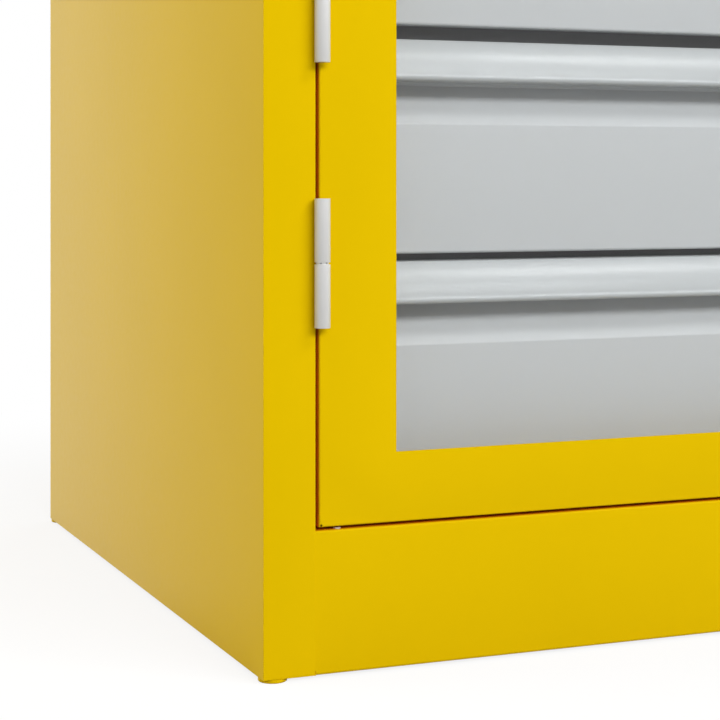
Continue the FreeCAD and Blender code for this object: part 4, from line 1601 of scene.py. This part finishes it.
def seen_directly(tree):
    """1 for rays from the camera, from gloss and through glass, and 0 for soft light."""
    ray = add(tree, "ShaderNodeLightPath").outputs
    seen = ray["Is Camera Ray"]
    for kind in ("Is Glossy Ray", "Is Transmission Ray"):
        seen = add(tree, "ShaderNodeMath", {0: seen, 1: ray[kind]}, operation="MAXIMUM").outputs[0]
    return seen


def dimmed(tree, way, behind):
    """1 all round, falling to the given share in the direction behind the camera."""
    darkest, brightest = -0.75, 0.1
    level = add(tree, "ShaderNodeVectorMath", {0: way}, operation="NORMALIZE")
    split = add(tree, "ShaderNodeSeparateXYZ", {"Vector": level.outputs["Vector"]})
    dim = add(
        tree,
        "ShaderNodeMapRange",
        {
            "Value": split.outputs["Y"],
            "From Min": darkest,
            "From Max": brightest,
            "To Min": behind,
            "To Max": 1.0,
        },
        interpolation_type="SMOOTHSTEP",
    )
    return dim.outputs["Result"]


def studio(fill, behind):
    """White all round. As light it is dim, and gloss sees the room behind the camera darker."""
    world = bpy.data.worlds.new("studio")
    world.use_nodes = True
    world.node_tree.nodes.clear()
    tree = world.node_tree
    dim = dimmed(tree, add(tree, "ShaderNodeTexCoord").outputs["Generated"], behind)
    glossy = add(tree, "ShaderNodeLightPath").outputs["Is Glossy Ray"]
    gloss = add(tree, "ShaderNodeBackground", {"Color": WHITE, "Strength": dim})
    white = add(tree, "ShaderNodeBackground", {"Color": WHITE, "Strength": 1.0})
    soft = add(tree, "ShaderNodeMath", {0: dim, 1: fill}, operation="MULTIPLY")
    light = add(tree, "ShaderNodeBackground", {"Color": WHITE, "Strength": soft.outputs[0]})
    shown = either(tree, glossy, white, gloss)
    mix = either(tree, seen_directly(tree), light, shown)
    add(tree, "ShaderNodeOutputWorld", {"Surface": mix.outputs[0]})
    return world


def soft_box(name, azimuth, elevation, wide, tall, power, distance, gloss=True):
    """Flat lamp aimed at the cabinet, in degrees and metres. Azimuth runs from the front to the right."""
    azimuth, elevation = math.radians(azimuth), math.radians(elevation)
    level = math.cos(elevation)
    way = Vector((math.sin(azimuth) * level, -math.cos(azimuth) * level, math.sin(elevation)))
    turn = (-way).to_track_quat("-Z", "Y").to_euler()
    alone()
    bpy.ops.object.light_add(type="AREA", location=LAMP_AIM + way * distance, rotation=turn)
    lamp = bpy.context.object
    lamp.name = name
    lamp.data.shape = "RECTANGLE"
    lamp.data.size = wide
    lamp.data.size_y = tall
    lamp.data.energy = power
    lamp.visible_glossy = gloss
    return lamp


def soft_boxes():
    """The four lamps: a wide one and a small high one in front, one at the left and one behind."""
    stage = settings("stage")
    unseen = {"distance": 5.0, "gloss": False}
    soft_box("key_box", azimuth=10, elevation=26.5, wide=4.0, tall=1.0, power=stage.key, **unseen)
    soft_box("top_box", azimuth=40, elevation=44, wide=0.8, tall=0.8, power=stage.top, distance=4.5)
    side = soft_box("side_box", azimuth=-114, elevation=22, wide=2.6, tall=2.6, power=stage.side, **unseen)
    side.data.color = WARM
    soft_box("rear_box", azimuth=138, elevation=30, wide=3.0, tall=2.4, power=stage.rear, **unseen)


def viewpoint():
    """The camera, level and shifted down, at its place from the left side's low front corner."""
    stage = settings("stage")
    sensor_mm, farthest = 36.0, 50.0
    alone()
    bpy.ops.object.camera_add(
        location=corners("left_side_panel")[0] + Vector(CAMERA_PLACE),
        rotation=(math.pi / 2, 0, -CAMERA_TURN),
    )
    camera = bpy.context.object
    camera.name = "camera"
    camera.data.sensor_width = sensor_mm
    camera.data.lens = stage.lens
    camera.data.shift_y = stage.rise
    camera.data.clip_end = farthest
    return camera


class CABINET_OT_stage(bpy.types.Operator):
    """Set up the floor, the lamps and the camera"""

    bl_idname = "cabinet.stage"
    bl_label = "Stage"

    def execute(self, context):
        stage = settings("stage")
        stage_floor(stage.behind)
        context.scene.world = studio(stage.fill, stage.behind)
        soft_boxes()
        context.scene.camera = viewpoint()
        context.scene.view_settings.view_transform = "Standard"
        return {"FINISHED"}


class CABINET_PT_panel(bpy.types.Panel):
    """Lists the cabinet's pieces and settings"""

    bl_idname = "CABINET_PT_panel"
    bl_label = "Reagent cabinet"
    bl_space_type = "VIEW_3D"
    bl_region_type = "UI"
    bl_category = "Cabinet"

    def draw(self, context):
        for step in STEPS:
            self.layout.operator(step)
        for name, group in GROUPS.items():
            box = self.layout.box()
            box.label(text=name.title())
            for key in group.__annotations__:
                box.prop(settings(name), key)


GROUPS = {
    "body": BodySettings,
    "door": DoorSettings,
    "drawer": DrawerSettings,
    "hardware": HardwareSettings,
    "finish": FinishSettings,
    "stage": StageSettings,
}
OPERATORS = (
    CABINET_OT_finishes,
    CABINET_OT_shell,
    CABINET_OT_glides,
    CABINET_OT_inner_sheets,
    CABINET_OT_hinges,
    CABINET_OT_door,
    CABINET_OT_window,
    CABINET_OT_lock,
    CABINET_OT_drawers,
    CABINET_OT_runners,
    CABINET_OT_stage,
)
STEPS = [operator.bl_idname for operator in OPERATORS]


def register():
    for group in GROUPS.values():
        bpy.utils.register_class(group)
    for name, group in GROUPS.items():
        setattr(bpy.types.Scene, f"cabinet_{name}", bpy.props.PointerProperty(type=group))
    for operator in OPERATORS:
        bpy.utils.register_class(operator)
    bpy.utils.register_class(CABINET_PT_panel)


def unregister():
    bpy.utils.unregister_class(CABINET_PT_panel)
    for operator in reversed(OPERATORS):
        bpy.utils.unregister_class(operator)
    for name, group in GROUPS.items():
        delattr(bpy.types.Scene, f"cabinet_{name}")
        bpy.utils.unregister_class(group)


def main():
    """Builds every piece in order."""
    register()
    for step in STEPS:
        group, name = step.split(".")
        getattr(getattr(bpy.ops, group), name)()


if __name__ == "__main__":
    main()
